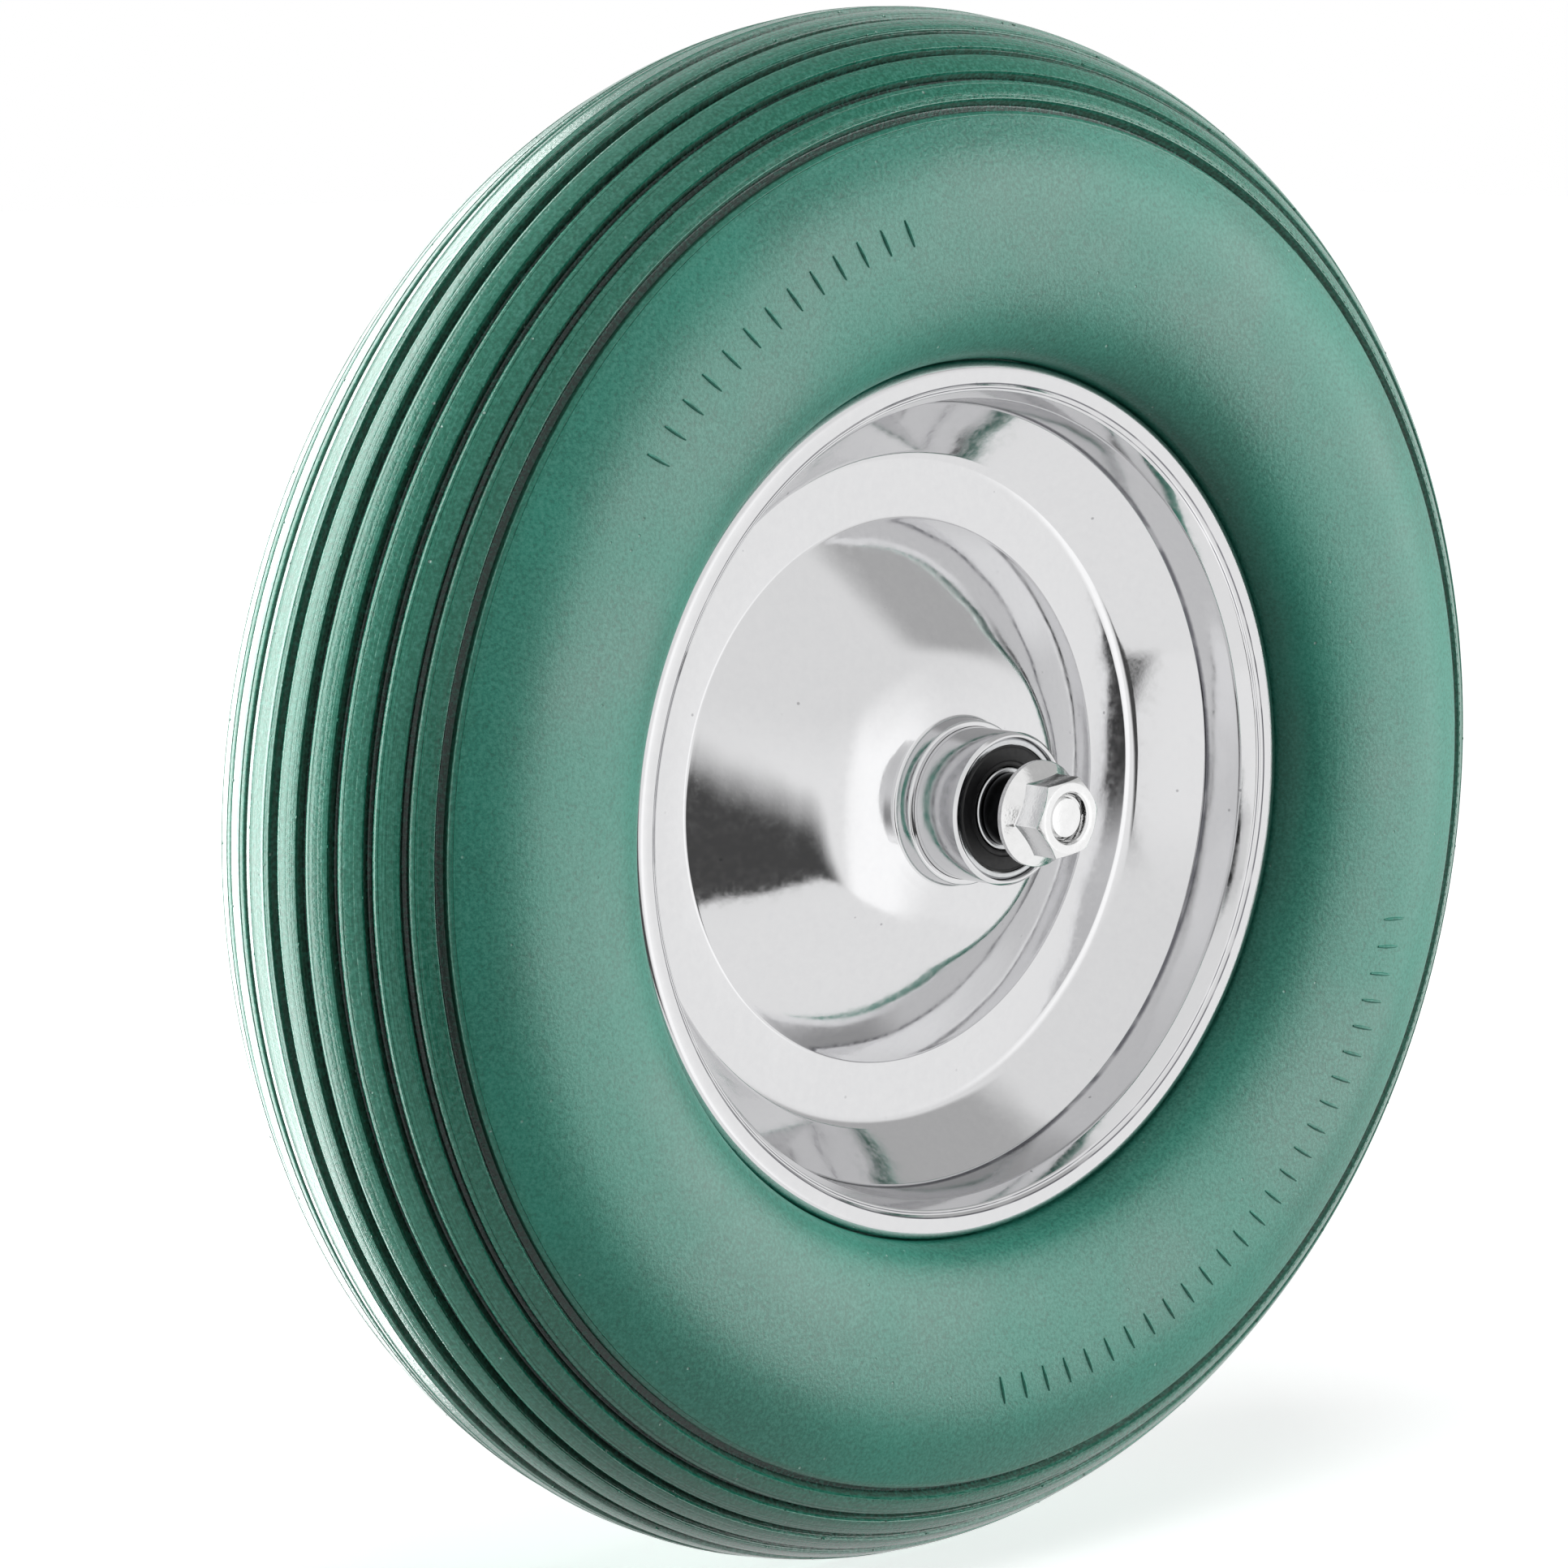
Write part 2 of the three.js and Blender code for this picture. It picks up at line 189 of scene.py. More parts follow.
ray = place(room, "ShaderNodeTexCoord").outputs["Generated"]
split = place(room, "ShaderNodeSeparateXYZ", {0: ray}).outputs
height = split["Z"]
bearing = calc(room, "ARCTAN2", split["X"], calc(room, "MULTIPLY", split["Y"], -1.0))
above_foot = calc(room, "SUBTRACT", height, WALL_FOOT)
leaning = calc(room, "ADD", bearing, calc(room, "MULTIPLY", above_foot, SCREEN_LEAN))
screen = calc(
    room,
    "MULTIPLY",
    fade(room, bearing, SCREEN_LEFT - CRISP_EDGE, SCREEN_LEFT),
    fade(room, leaning, SCREEN_RIGHT + SOFT_EDGE, SCREEN_RIGHT - SOFT_EDGE),
)
window = calc(
    room,
    "MULTIPLY",
    fade(room, bearing, WINDOW_LEFT - CRISP_EDGE, WINDOW_LEFT + SOFT_EDGE),
    fade(room, bearing, WINDOW_RIGHT + SOFT_EDGE, WINDOW_RIGHT - SOFT_EDGE),
)
wall = blend(screen, blend(window, WALL_LIGHT, WINDOW_LIGHT), SCREEN_LIGHT)
ceiling = fade(room, facing(ray, DIM_CEILING), DIM_EDGE, DIM_CORE, CEILING_LIGHT, DIM_LIGHT)
above_floor = blend(fade(room, height, 0.0, WALL_TOP), wall, ceiling)
on_floor = fade(room, height, WALL_FOOT, WALL_FOOT - FOOT_EDGE)
brightness = blend(on_floor, above_floor, FLOOR_LIGHT)
ray_kind = place(room, "ShaderNodeLightPath").outputs
share = blend(ray_kind["Is Glossy Ray"], ROOM_ON_DULL_SURFACES, 1.0)
dimmed = calc(room, "MULTIPLY", brightness, share)
lit_room = place(room, "ShaderNodeBackground", {"Color": (1, 1, 1, 1), "Strength": dimmed})
white_room = place(room, "ShaderNodeBackground", {"Color": (1, 1, 1, 1), "Strength": 1.0})
seen = place(
    room,
    "ShaderNodeMixShader",
    {0: ray_kind["Is Camera Ray"], 1: lit_room.outputs[0], 2: white_room.outputs[0]},
)
place(room, "ShaderNodeOutputWorld", {"Surface": seen.outputs[0]})

bpy.context.scene.view_settings.view_transform = "Standard"

# %% [markdown]
# Foam and chrome need different lamps, because a lamp bright enough for the dull foam burns out in
# the chrome. Light linking solves it: every lamp but the top one shines on the foam only. Places
# and sizes are in metres, power is in watts.

# %% Softboxes
foam_pieces = bpy.data.collections.new("foam_pieces")


def softbox(name, where, size, power, receivers=None):
    """A square area light that faces the wheel and never shows to the camera."""
    data = bpy.data.lights.new(name, "AREA")
    data.size = size
    data.energy = power
    box = bpy.data.objects.new(name, data)
    box.location = where
    box.rotation_euler = Vector(where).to_track_quat("Z", "Y").to_euler()
    box.visible_camera = False
    box.light_linking.receiver_collection = receivers
    bpy.context.scene.collection.objects.link(box)
    return box


softbox("key_lamp", (1.48, -1.38, 0.25), size=2.0, power=53, receivers=foam_pieces)
rear_lamp = softbox("rear_lamp", (-1.2, 1.92, 0.1), size=5.4, power=660, receivers=foam_pieces)
rear_lamp.visible_diffuse = False
left_lamp = softbox("left_lamp", (-2.06, 0.80, 0.1), size=1.6, power=62, receivers=foam_pieces)
left_lamp.visible_glossy = False
top_lamp = softbox("top_lamp", (-0.2, -0.3, 1.9), size=1.2, power=14)
top_lamp.visible_glossy = False

# %% [markdown]
# The floor glows a little, more so farther away, so that it runs into the white without a horizon
# and still shows the wheel's shadow.

# %% Floor
FLOOR_HALF = 9.0
NEAR_GLOW = 0.76
FAR_GLOW = 1.05
GLOW_START = 0.25
GLOW_END = 1.1

floor_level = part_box("tyre")[0].z
floor_mesh = bpy.data.meshes.new("floor")
floor_net = bmesh.new()
bmesh.ops.create_grid(floor_net, x_segments=8, y_segments=8, size=FLOOR_HALF)
bmesh.ops.translate(floor_net, vec=(0, 0, floor_level), verts=floor_net.verts)
floor_net.to_mesh(floor_mesh)
floor_net.free()
floor = bpy.data.objects.new("floor", floor_mesh)
bpy.context.scene.collection.objects.link(floor)

floor_paint = bpy.data.materials.new("pale_floor")
floor_paint.use_nodes = True
floor_tree = floor_paint.node_tree
floor_spot = place(floor_tree, "ShaderNodeTexCoord").outputs["Object"]
floor_shader = floor_tree.nodes["Principled BSDF"]
floor_shader.inputs["Roughness"].default_value = 0.9
mottle = noise(floor_tree, floor_spot, 3)
floor_white = tint(floor_tree, mottle, (0.97, 0.97, 0.97, 1), (1.0, 1.0, 1.0, 1))
floor_tree.links.new(floor_white, floor_shader.inputs["Base Color"])
floor_tree.links.new(floor_white, floor_shader.inputs["Emission Color"])
distance = length(floor_tree, floor_spot)
floor_glow = fade(floor_tree, distance, GLOW_START, GLOW_END, NEAR_GLOW, FAR_GLOW)
floor_tree.links.new(floor_glow, floor_shader.inputs["Emission Strength"])
floor_mesh.materials.append(floor_paint)
floor.visible_glossy = False
floor.visible_shadow = False
floor.visible_diffuse = False


# %% [markdown]
# ## Finishes
#
# Each finish is a Principled shader whose colour, roughness and bump come from noise in the
# piece's own coordinates, in metres. How metallic it is stays the same all over, so that is a
# plain number on the shader.

# %% Start of a finish
def new_finish(name, metallic=0.0):
    """A new material, its tree, its shader and the point on the piece in metres."""
    finish = bpy.data.materials.new(name)
    finish.use_nodes = True
    tree = finish.node_tree
    shader = tree.nodes["Principled BSDF"]
    shader.inputs["Metallic"].default_value = metallic
    return finish, tree, shader, place(tree, "ShaderNodeTexCoord").outputs["Object"]


def bump(tree, shader, height_in, depth, strength=1.0):
    """Raises the surface by up to depth metres where height_in is 1."""
    inputs = {"Height": height_in, "Distance": depth, "Strength": strength}
    raised = place(tree, "ShaderNodeBump", inputs)
    tree.links.new(raised.outputs[0], shader.inputs["Normal"])


# %% [markdown]
# ### Foam skin
#
# Polyurethane foam comes out of the mould with a thin dense skin. It is deep green, with a soft
# cloudy shine, a very fine grain, and pinholes where bubbles met the mould. The ribs carry fine
# lines round the tyre from the turned mould. The tread is smoother than the sidewall, and the
# grooves are dusty on their walls, with painted shade that turns their floors nearly black.

# %% Tread arc
tyre_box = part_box("tyre")
TYRE_RADIUS = tyre_box[1].x / MM
TYRE_HALF_WIDTH = tyre_box[1].y / MM
CROWN_RADIUS = 42.8
CROWN_CENTRE = TYRE_RADIUS - CROWN_RADIUS
print("tread arc of radius", CROWN_RADIUS, "about", round(CROWN_CENTRE, 2), "mm from the axle")

# %% Foam skin
WALL_GREENS = (0.007, 0.150, 0.102, 1), (0.012, 0.205, 0.143, 1)
TREAD_GREENS = (0.002, 0.125, 0.075, 1), (0.004, 0.165, 0.100, 1)
DUST = (0.085, 0.090, 0.080, 1)
# The near-black colour below is painted shade for the groove floors.
GROOVE_FLOOR_SHADE = (0.003, 0.010, 0.008, 1)
PALE_GRAIN = (0.06, 0.28, 0.21, 1)
DARK_GRAIN = (0.002, 0.07, 0.045, 1)
PINHOLE_GREY = (0.45, 0.62, 0.56, 1)
TREAD_EDGE = 0.1665
TREAD_INSIDE = 0.1715
TREAD_POLISH = 0.22
DUST_DEPTHS = 0.0005, 0.0012
# Depths, in metres, where the painted shade on the groove floors starts and is full.
SHADE_DEPTHS = 0.0021, 0.0026
SKIN_RELIEF = 0.00016

foam_skin, tree, shader, spot = new_finish("foam_skin")
parts = place(tree, "ShaderNodeSeparateXYZ", {0: spot}).outputs
flat_spot = place(tree, "ShaderNodeCombineXYZ", {0: parts["X"], 1: parts["Z"]}).outputs[0]
reach = length(tree, flat_spot)
on_tread = fade(tree, reach, TREAD_EDGE, TREAD_INSIDE)
clouds = noise(tree, spot, 16, 3, 0.55)
grain = noise(tree, spot, 1100, 3, 0.6)
ring_spot = place(tree, "ShaderNodeCombineXYZ", {0: reach, 1: parts["Y"]}).outputs[0]
mould_lines = noise(tree, ring_spot, 1600, 2, 0.6)
bubbles = place(tree, "ShaderNodeTexVoronoi", {"Vector": spot, "Scale": 210.0}).outputs["Distance"]
pinholes = fade(tree, bubbles, 0.10, 0.04)
rare = fade(tree, noise(tree, spot, 60, 2), 0.55, 0.62)
pinholes = calc(tree, "MULTIPLY", pinholes, rare)
wall_green = tint(tree, fade(tree, clouds, 0.35, 0.65), *WALL_GREENS)
tread_green = tint(tree, mould_lines, *TREAD_GREENS)
green = tint(tree, on_tread, wall_green, tread_green)
off_centre = calc(tree, "SUBTRACT", reach, CROWN_CENTRE * MM)
arc_spot = place(tree, "ShaderNodeCombineXYZ", {0: off_centre, 1: parts["Y"]}).outputs[0]
groove_depth = calc(tree, "SUBTRACT", CROWN_RADIUS * MM, length(tree, arc_spot))
dusty = calc(tree, "MULTIPLY", on_tread, fade(tree, groove_depth, *DUST_DEPTHS, 0.0, 0.65))
# Painted shade: the colour goes nearly black towards the groove floors.
groove_shade = calc(tree, "MULTIPLY", on_tread, fade(tree, groove_depth, *SHADE_DEPTHS, 0.0, 0.85))
green = tint(tree, dusty, green, DUST)
green = tint(tree, groove_shade, green, GROOVE_FLOOR_SHADE)
green = tint(tree, fade(tree, grain, 0.42, 0.70, 0.0, 0.6), green, PALE_GRAIN)
green = tint(tree, fade(tree, grain, 0.50, 0.30, 0.0, 0.5), green, DARK_GRAIN)
green = tint(tree, calc(tree, "MULTIPLY", pinholes, 0.5), green, PINHOLE_GREY)
tree.links.new(green, shader.inputs["Base Color"])
dullness = fade(tree, clouds, 0.3, 0.7, 0.40, 0.50)
dullness = calc(tree, "SUBTRACT", dullness, calc(tree, "MULTIPLY", on_tread, TREAD_POLISH))
tree.links.new(dullness, shader.inputs["Roughness"])
turned_lines = calc(tree, "MULTIPLY", calc(tree, "MULTIPLY", mould_lines, on_tread), 1.2)
relief = calc(tree, "ADD", grain, turned_lines)
relief = calc(tree, "SUBTRACT", relief, calc(tree, "MULTIPLY", pinholes, 2.0))
bump(tree, shader, relief, SKIN_RELIEF, 0.7)

# %% [markdown]
# ### Bright plating
#
# Chrome is nearly a mirror, but it gives back only two thirds of the light, so what it mirrors
# twice is clearly darker. A pressed sheet is never quite flat, so long soft waves bend what it
# mirrors, and polishing leaves fine scratches and a few specks. Dark grey painted shade lies in the
# three tight bends near the flange, as thin broken lines at known distances from the axle.

# %% Chrome
PLATE_GREYS = (0.655, 0.655, 0.667, 1), (0.72, 0.72, 0.725, 1)
SPECK_GREY = (0.30, 0.30, 0.31, 1)
# This dark grey and the bend lines below are painted shade in the three tight bends near the flange.
BEND_SHADE_GREY = (0.10, 0.10, 0.12, 1)
SHADED_BEND_LINES = ((0.0984, 0.00022), (0.1025, 0.00018), (0.10365, 0.00024))
PLATE_RELIEF = 0.0012

bright_plating, tree, shader, spot = new_finish("bright_plating", metallic=1.0)
waves = noise(tree, spot, 28, 2)
polish = noise(tree, spot, 420, 4, 0.65)
dust = place(tree, "ShaderNodeTexVoronoi", {"Vector": spot, "Scale": 130.0}).outputs["Distance"]
rare = fade(tree, noise(tree, spot, 40), 0.5, 0.6)
specks = calc(tree, "MULTIPLY", fade(tree, dust, 0.07, 0.03), rare)
parts = place(tree, "ShaderNodeSeparateXYZ", {0: spot}).outputs
flat_spot = place(tree, "ShaderNodeCombineXYZ", {0: parts["X"], 1: parts["Z"]}).outputs[0]
reach = length(tree, flat_spot)
# Painted shade: thin broken dark lines in the bends, placed by distance from the axle.
bend_shade = 0.0
for bend_radius, line_width in SHADED_BEND_LINES:
    off_line = calc(tree, "ABSOLUTE", calc(tree, "SUBTRACT", reach, bend_radius))
    bend_shade = calc(tree, "MAXIMUM", fade(tree, off_line, line_width, line_width / 3), bend_shade)
bend_shade = calc(tree, "MULTIPLY", bend_shade, fade(tree, noise(tree, spot, 90), 0.3, 0.5, 0.35, 0.85))
plate = tint(tree, polish, *PLATE_GREYS)
plate = tint(tree, calc(tree, "MULTIPLY", specks, 0.7), plate, SPECK_GREY)
# The painted shade of the bends goes into the plating's colour here.
plate = tint(tree, bend_shade, plate, BEND_SHADE_GREY)
tree.links.new(plate, shader.inputs["Base Color"])
tree.links.new(fade(tree, polish, 0.3, 0.75, 0.055, 0.13), shader.inputs["Roughness"])
sheet_relief = calc(tree, "ADD", waves, calc(tree, "MULTIPLY", polish, 0.012))
bump(tree, shader, sheet_relief, PLATE_RELIEF, 0.35)

# %% [markdown]
# ### Zinc, steels and rubber
#
# The bolt and nut are zinc plated, lighter and a little rougher than the rim. The spacers are black
# steel, the bearing rings ground steel, the ball cages brushed sheet, and the seals black rubber.
# Each metal wanders between a dark and a light tone, and between a dull and a shiny roughness.

# %% A metal of one colour
def metal_finish(name, dark, light, dull, shiny, per_metre, depth):
    """A metal that goes between two colours and two roughnesses, with fine bumps of that depth."""
    finish, tree, shader, spot = new_finish(name, metallic=1.0)
    patches = noise(tree, spot, per_metre, 4, 0.6)
    tree.links.new(tint(tree, patches, (*dark, 1), (*light, 1)), shader.inputs["Base Color"])
    tree.links.new(fade(tree, patches, 0.3, 0.7, shiny, dull), shader.inputs["Roughness"])
    bump(tree, shader, noise(tree, spot, per_metre * 4, 3), depth, 0.6)
    return finish


zinc_plate = metal_finish(
    "zinc_plate", dark=(0.74, 0.74, 0.74), light=(0.90, 0.90, 0.90),
    dull=0.20, shiny=0.08, per_metre=400, depth=0.00005,
)
black_steel = metal_finish(
    "black_steel", dark=(0.018, 0.018, 0.020), light=(0.05, 0.05, 0.055),
    dull=0.42, shiny=0.28, per_metre=350, depth=0.00004,
)
ground_steel = metal_finish(
    "ground_steel", dark=(0.50, 0.51, 0.52), light=(0.66, 0.67, 0.68),
    dull=0.20, shiny=0.12, per_metre=700, depth=0.00002,
)
cage_sheet = metal_finish(
    "cage_sheet", dark=(0.42, 0.42, 0.42), light=(0.58, 0.58, 0.57),
    dull=0.36, shiny=0.24, per_metre=600, depth=0.00003,
)

# %% Seal rubber
RUBBER_BLACKS = (0.006, 0.006, 0.007, 1), (0.016, 0.016, 0.017, 1)

seal_rubber, tree, shader, spot = new_finish("seal_rubber")
skin = noise(tree, spot, 900, 3)
tree.links.new(tint(tree, skin, *RUBBER_BLACKS), shader.inputs["Base Color"])
tree.links.new(fade(tree, skin, 0.3, 0.7, 0.38, 0.55), shader.inputs["Roughness"])
bump(tree, shader, skin, 0.00003, 0.5)

print("finishes:", [m.name for m in (foam_skin, bright_plating, zinc_plate, black_steel, seal_rubber)])


# %% [markdown]
# ## Turned pieces
#
# Nearly every piece of a wheel is a section swept round the axle. The section could be spun with
# the Screw modifier or in mesh code, but Curve to Mesh does the same for any closed section, with
# named inputs, so one small Geometry Nodes tree makes the tyre, the rims and the bearing rings.

# %% Building and running a tree
def new_tree(name, inputs):
    """A Geometry Nodes tree with a mesh in, a mesh out and the named inputs, as (type, start value)."""
    tree = bpy.data.node_groups.new(name, "GeometryNodeTree")
    tree.interface.new_socket("Mesh", in_out="INPUT", socket_type="NodeSocketGeometry")
    for label, (kind, start) in inputs.items():
        socket = tree.interface.new_socket(label, in_out="INPUT", socket_type="NodeSocket" + kind)
        if start is not None:
            socket.default_value = start
    tree.interface.new_socket("Mesh", in_out="OUTPUT", socket_type="NodeSocketGeometry")
    return tree, tree.nodes.new("NodeGroupInput").outputs


def end_tree(tree, geometry, finish):
    """Realize Instances, Set Material, out."""
    whole = place(tree, "GeometryNodeRealizeInstances", {0: geometry}).outputs[0]
    painted = place(tree, "GeometryNodeSetMaterial", {"Geometry": whole, "Material": finish}).outputs[0]
    place(tree, "NodeGroupOutput", {0: painted})


def run_tree(tree, name, start_mesh, values, crease=35):
    """Runs a tree on a mesh, and keeps the result as a plain mesh object at the origin."""
    draft = bpy.data.objects.new(name + "_draft", start_mesh)
    bpy.context.scene.collection.objects.link(draft)
    modifier = draft.modifiers.new("tree", "NODES")
    modifier.node_group = tree
    for item in tree.interface.items_tree:
        if item.item_type == "SOCKET" and item.in_out == "INPUT" and item.name in values:
            modifier[item.identifier] = values[item.name]
    graph = bpy.context.evaluated_depsgraph_get()
    mesh = bpy.data.meshes.new_from_object(draft.evaluated_get(graph), depsgraph=graph)
    bpy.data.objects.remove(draft)
    return finish_mesh(name, mesh, crease)


def finish_mesh(name, mesh, crease):
    """Makes all faces point out, shades them smooth between creases, and links the object."""
    net = bmesh.new()
    net.from_mesh(mesh)
    bmesh.ops.remove_doubles(net, verts=net.verts, dist=1e-7)
    bmesh.ops.recalc_face_normals(net, faces=net.faces)
    net.to_mesh(mesh)
    net.free()
    mesh.name = name
    mesh.shade_smooth()
    mesh.set_sharp_from_angle(angle=math.radians(crease))
    piece = bpy.data.objects.new(name, mesh)
    bpy.context.scene.collection.objects.link(piece)
    triangles = sum(len(p.vertices) - 2 for p in mesh.polygons)
    print(name, "has", triangles, "triangles")
    return piece


# %% The lathe tree
lathe, given = new_tree("lathe", {
    "Path radius": ("Float", 0.1),
    "Facets": ("Int", 64),
    "Finish": ("Material", None),
})
section = place(lathe, "GeometryNodeMeshToCurve", {0: given["Mesh"]}).outputs[0]
path = place(
    lathe,
    "GeometryNodeCurvePrimitiveCircle",
    {"Resolution": given["Facets"], "Radius": given["Path radius"]},
).outputs[0]
swept = place(lathe, "GeometryNodeCurveToMesh", {"Curve": path, "Profile Curve": section}).outputs[0]
upright = place(lathe, "GeometryNodeTransform", {"Geometry": swept, "Rotation": (math.pi / 2, 0, 0)})
end_tree(lathe, upright.outputs[0], given["Finish"])


def turned(name, outline, facets, finish, crease=35):
    """Sweeps a closed outline of (radius, axle) points, in millimetres, round the axle."""
    path_radius = min(radius for radius, _ in outline)
    points = [((radius - path_radius) * MM, axle * MM, 0) for radius, axle in outline]
    loop = [(i, (i + 1) % len(points)) for i in range(len(points))]
    drawing = bpy.data.meshes.new(name + "_section")
    drawing.from_pydata(points, loop, [])
    values = {"Path radius": path_radius * MM, "Facets": facets, "Finish": finish}
    return run_tree(lathe, name, drawing, values, crease)


# %% [markdown]
# A section is drawn as corners, and pressed or turned metal has no sharp ones. `rounded` puts an
# arc on each corner that asks for one.

# %% Rounded corners
def rounded(corners, steps=6):
    """Turns (radius, axle, fillet) corners into points, with a true arc on each filleted corner."""
    points = []
    for i, (radius, axle, fillet) in enumerate(corners):
        corner = Vector((radius, axle))
        if fillet == 0 or i in (0, len(corners) - 1):
            points.append((radius, axle))
            continue
        before = Vector(corners[i - 1][:2]) - corner
        after = Vector(corners[i + 1][:2]) - corner
        half = before.angle(after) / 2
        room_left = 0.48 * min(before.length, after.length)
        tangent = min(fillet / math.tan(half), room_left)
        bend = tangent * math.tan(half)
        before.normalize()
        after.normalize()
        centre = corner + (before + after).normalized() * bend / math.sin(half)
        first = corner + before * tangent - centre
        last = corner + after * tangent - centre
        start = math.atan2(first.y, first.x)
        turn = (math.atan2(last.y, last.x) - start + math.pi) % (2 * math.pi) - math.pi
        for step in range(steps + 1):
            angle = start + turn * step / steps
            points.append((centre.x + bend * math.cos(angle), centre.y + bend * math.sin(angle)))
    return points


def both_sides(half):
    """Adds the mirror image of a half outline that runs from the mid-plane out to one side."""
    return [(radius, -axle) for radius, axle in reversed(half)] + list(half)


# %% [markdown]
# ## The tyre
#
# The tread is an arc. Twelve grooves run round it, six on each side of a wide middle rib. A groove
# has a steep wall on the side of the middle, and on its outer side the next rib starts with a
# narrow lip that leans into the groove, parted from the rib's face by a fine crease. A hair-fine
# raised line runs along the middle rib on each side of its centre. The sidewall is one full curve
# from the last lip down to the rim. Angles are degrees round the tread's arc.

# %% Tread section
GROOVES_EACH_SIDE = 6
FIRST_GROOVE_ANGLE = 7.1
GROOVE_STEP_ANGLE = 11.2
GROOVE_WIDTH = 2.3
SHOULDER_GROOVE_WIDTH = 3.0
GROOVE_DEPTH = 2.8
LIP_WIDTH = 1.35
DEGREES_BEFORE_GROOVE = 2.6
DEGREES_AFTER_GROOVE = 4.0
GROOVE_ANGLES = [FIRST_GROOVE_ANGLE + GROOVE_STEP_ANGLE * k for k in range(GROOVES_EACH_SIDE)]


def crown_point(degrees, inset=0.0):
    """A point on the tread's arc, that far round from the mid-plane and that far under the face."""
    angle = math.radians(degrees)
    reach = CROWN_RADIUS - inset
    return CROWN_CENTRE + reach * math.cos(angle), reach * math.sin(angle)


def groove_line(centre, width):
    """One groove, from its steep inner wall over its floor to the lip and crease beyond it."""
    half = width / 2
    shape = [
        (-half - 0.22, 0.0),
        (-half - 0.02, 0.07),
        (-half + 0.08, 0.35),
        (-half + 0.38, 0.82 * GROOVE_DEPTH),
        (-half + 0.65, 0.96 * GROOVE_DEPTH),
        (0.1, GROOVE_DEPTH),
        (half - 0.5, 0.93 * GROOVE_DEPTH),
        (half - 0.25, 0.75 * GROOVE_DEPTH),
        (half - 0.02, 0.9),
        (half + 0.12, 0.62),
        (half + 0.38, 0.44),
        (half + LIP_WIDTH - 0.25, 0.17),
        (half + LIP_WIDTH - 0.06, 0.2),
        (half + LIP_WIDTH + 0.02, 0.26),
        (half + LIP_WIDTH + 0.12, 0.03),
        (half + LIP_WIDTH + 0.35, 0.0),
    ]
    points = []
    for along, inset in shape:
        points.append(crown_point(centre + math.degrees(along / CROWN_RADIUS), inset))
    return points


tread_half = [
    crown_point(0.0),
    crown_point(1.6),
    crown_point(3.1),
    crown_point(3.4, -0.14),
    crown_point(3.7),
]
for number, angle in enumerate(GROOVE_ANGLES):
    if number > 0:
        face_start = GROOVE_ANGLES[number - 1] + DEGREES_AFTER_GROOVE
        face_end = angle - DEGREES_BEFORE_GROOVE
        tread_half.append(crown_point(face_start + (face_end - face_start) * 1 / 3))
        tread_half.append(crown_point(face_start + (face_end - face_start) * 2 / 3))
    is_last = number == len(GROOVE_ANGLES) - 1
    tread_half += groove_line(angle, SHOULDER_GROOVE_WIDTH if is_last else GROOVE_WIDTH)
print("tread half has", len(tread_half), "points")


# %% Sidewall and bead
def smooth_line(stations, steps):
    """A soft curve through the stations, with steps points in each gap."""
    ends = [stations[0], *stations, stations[-1]]
    points = []
    for a, b, c, d in zip(ends, ends[1:], ends[2:], ends[3:]):
        for k in range(steps):
            t = k / steps
            points.append(tuple(
                0.5 * (2 * q + (r - p) * t + (2 * p - 5 * q + 4 * r - s) * t**2
                       + (3 * q - p - 3 * r + s) * t**3)
                for p, q, r, s in zip(a, b, c, d)
            ))
    return points + [stations[-1]]


rim_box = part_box("rim_half_head_side")
FLANGE_RADIUS = rim_box[1].x / MM
FLANGE_FACE = rim_box[1].y / MM
BEAD_GAP = 0.4
TYRE_FACETS = 300
CURVE_STEPS = 5

sidewall = smooth_line([
    tread_half[-1],
    (161.5, TYRE_HALF_WIDTH - 2.6),
    (155, TYRE_HALF_WIDTH - 0.7),
    (148, TYRE_HALF_WIDTH),
    (139, TYRE_HALF_WIDTH - 0.4),
    (130, TYRE_HALF_WIDTH - 1.5),
    (122, TYRE_HALF_WIDTH - 3.5),
    (116, TYRE_HALF_WIDTH - 6.3),
    (112.2, TYRE_HALF_WIDTH - 9.6),
    (110.4, TYRE_HALF_WIDTH - 12.9),
    (FLANGE_RADIUS + BEAD_GAP, FLANGE_FACE - 1.6),
], CURVE_STEPS)
bead = [
    (FLANGE_RADIUS + BEAD_GAP, FLANGE_FACE - 6.8),
    (106.9, FLANGE_FACE - 6.8),
    (106.9, FLANGE_FACE - 3.0),
    (104.9, FLANGE_FACE - 2.2),
    (102.1, 25.0),
    (100.6, 14.0),
    (85.8, 0.3),
]
tyre_section = both_sides(tread_half[1:] + sidewall[1:] + bead)
tyre = turned("foam_tyre", tyre_section, TYRE_FACETS, foam_skin, crease=40)
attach(tyre, "wheel")
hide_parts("tyre")
foam_pieces.objects.link(tyre)

# %% [markdown]
# ### Things that repeat round the axle
#
# Fine marks, balls and crumbs all repeat round the wheel. One tree copies whatever is drawn once
# near the +X axis: each copy turns about Y by its number times a step, with a little seeded
# scatter, and is stretched along the rim by a random amount.

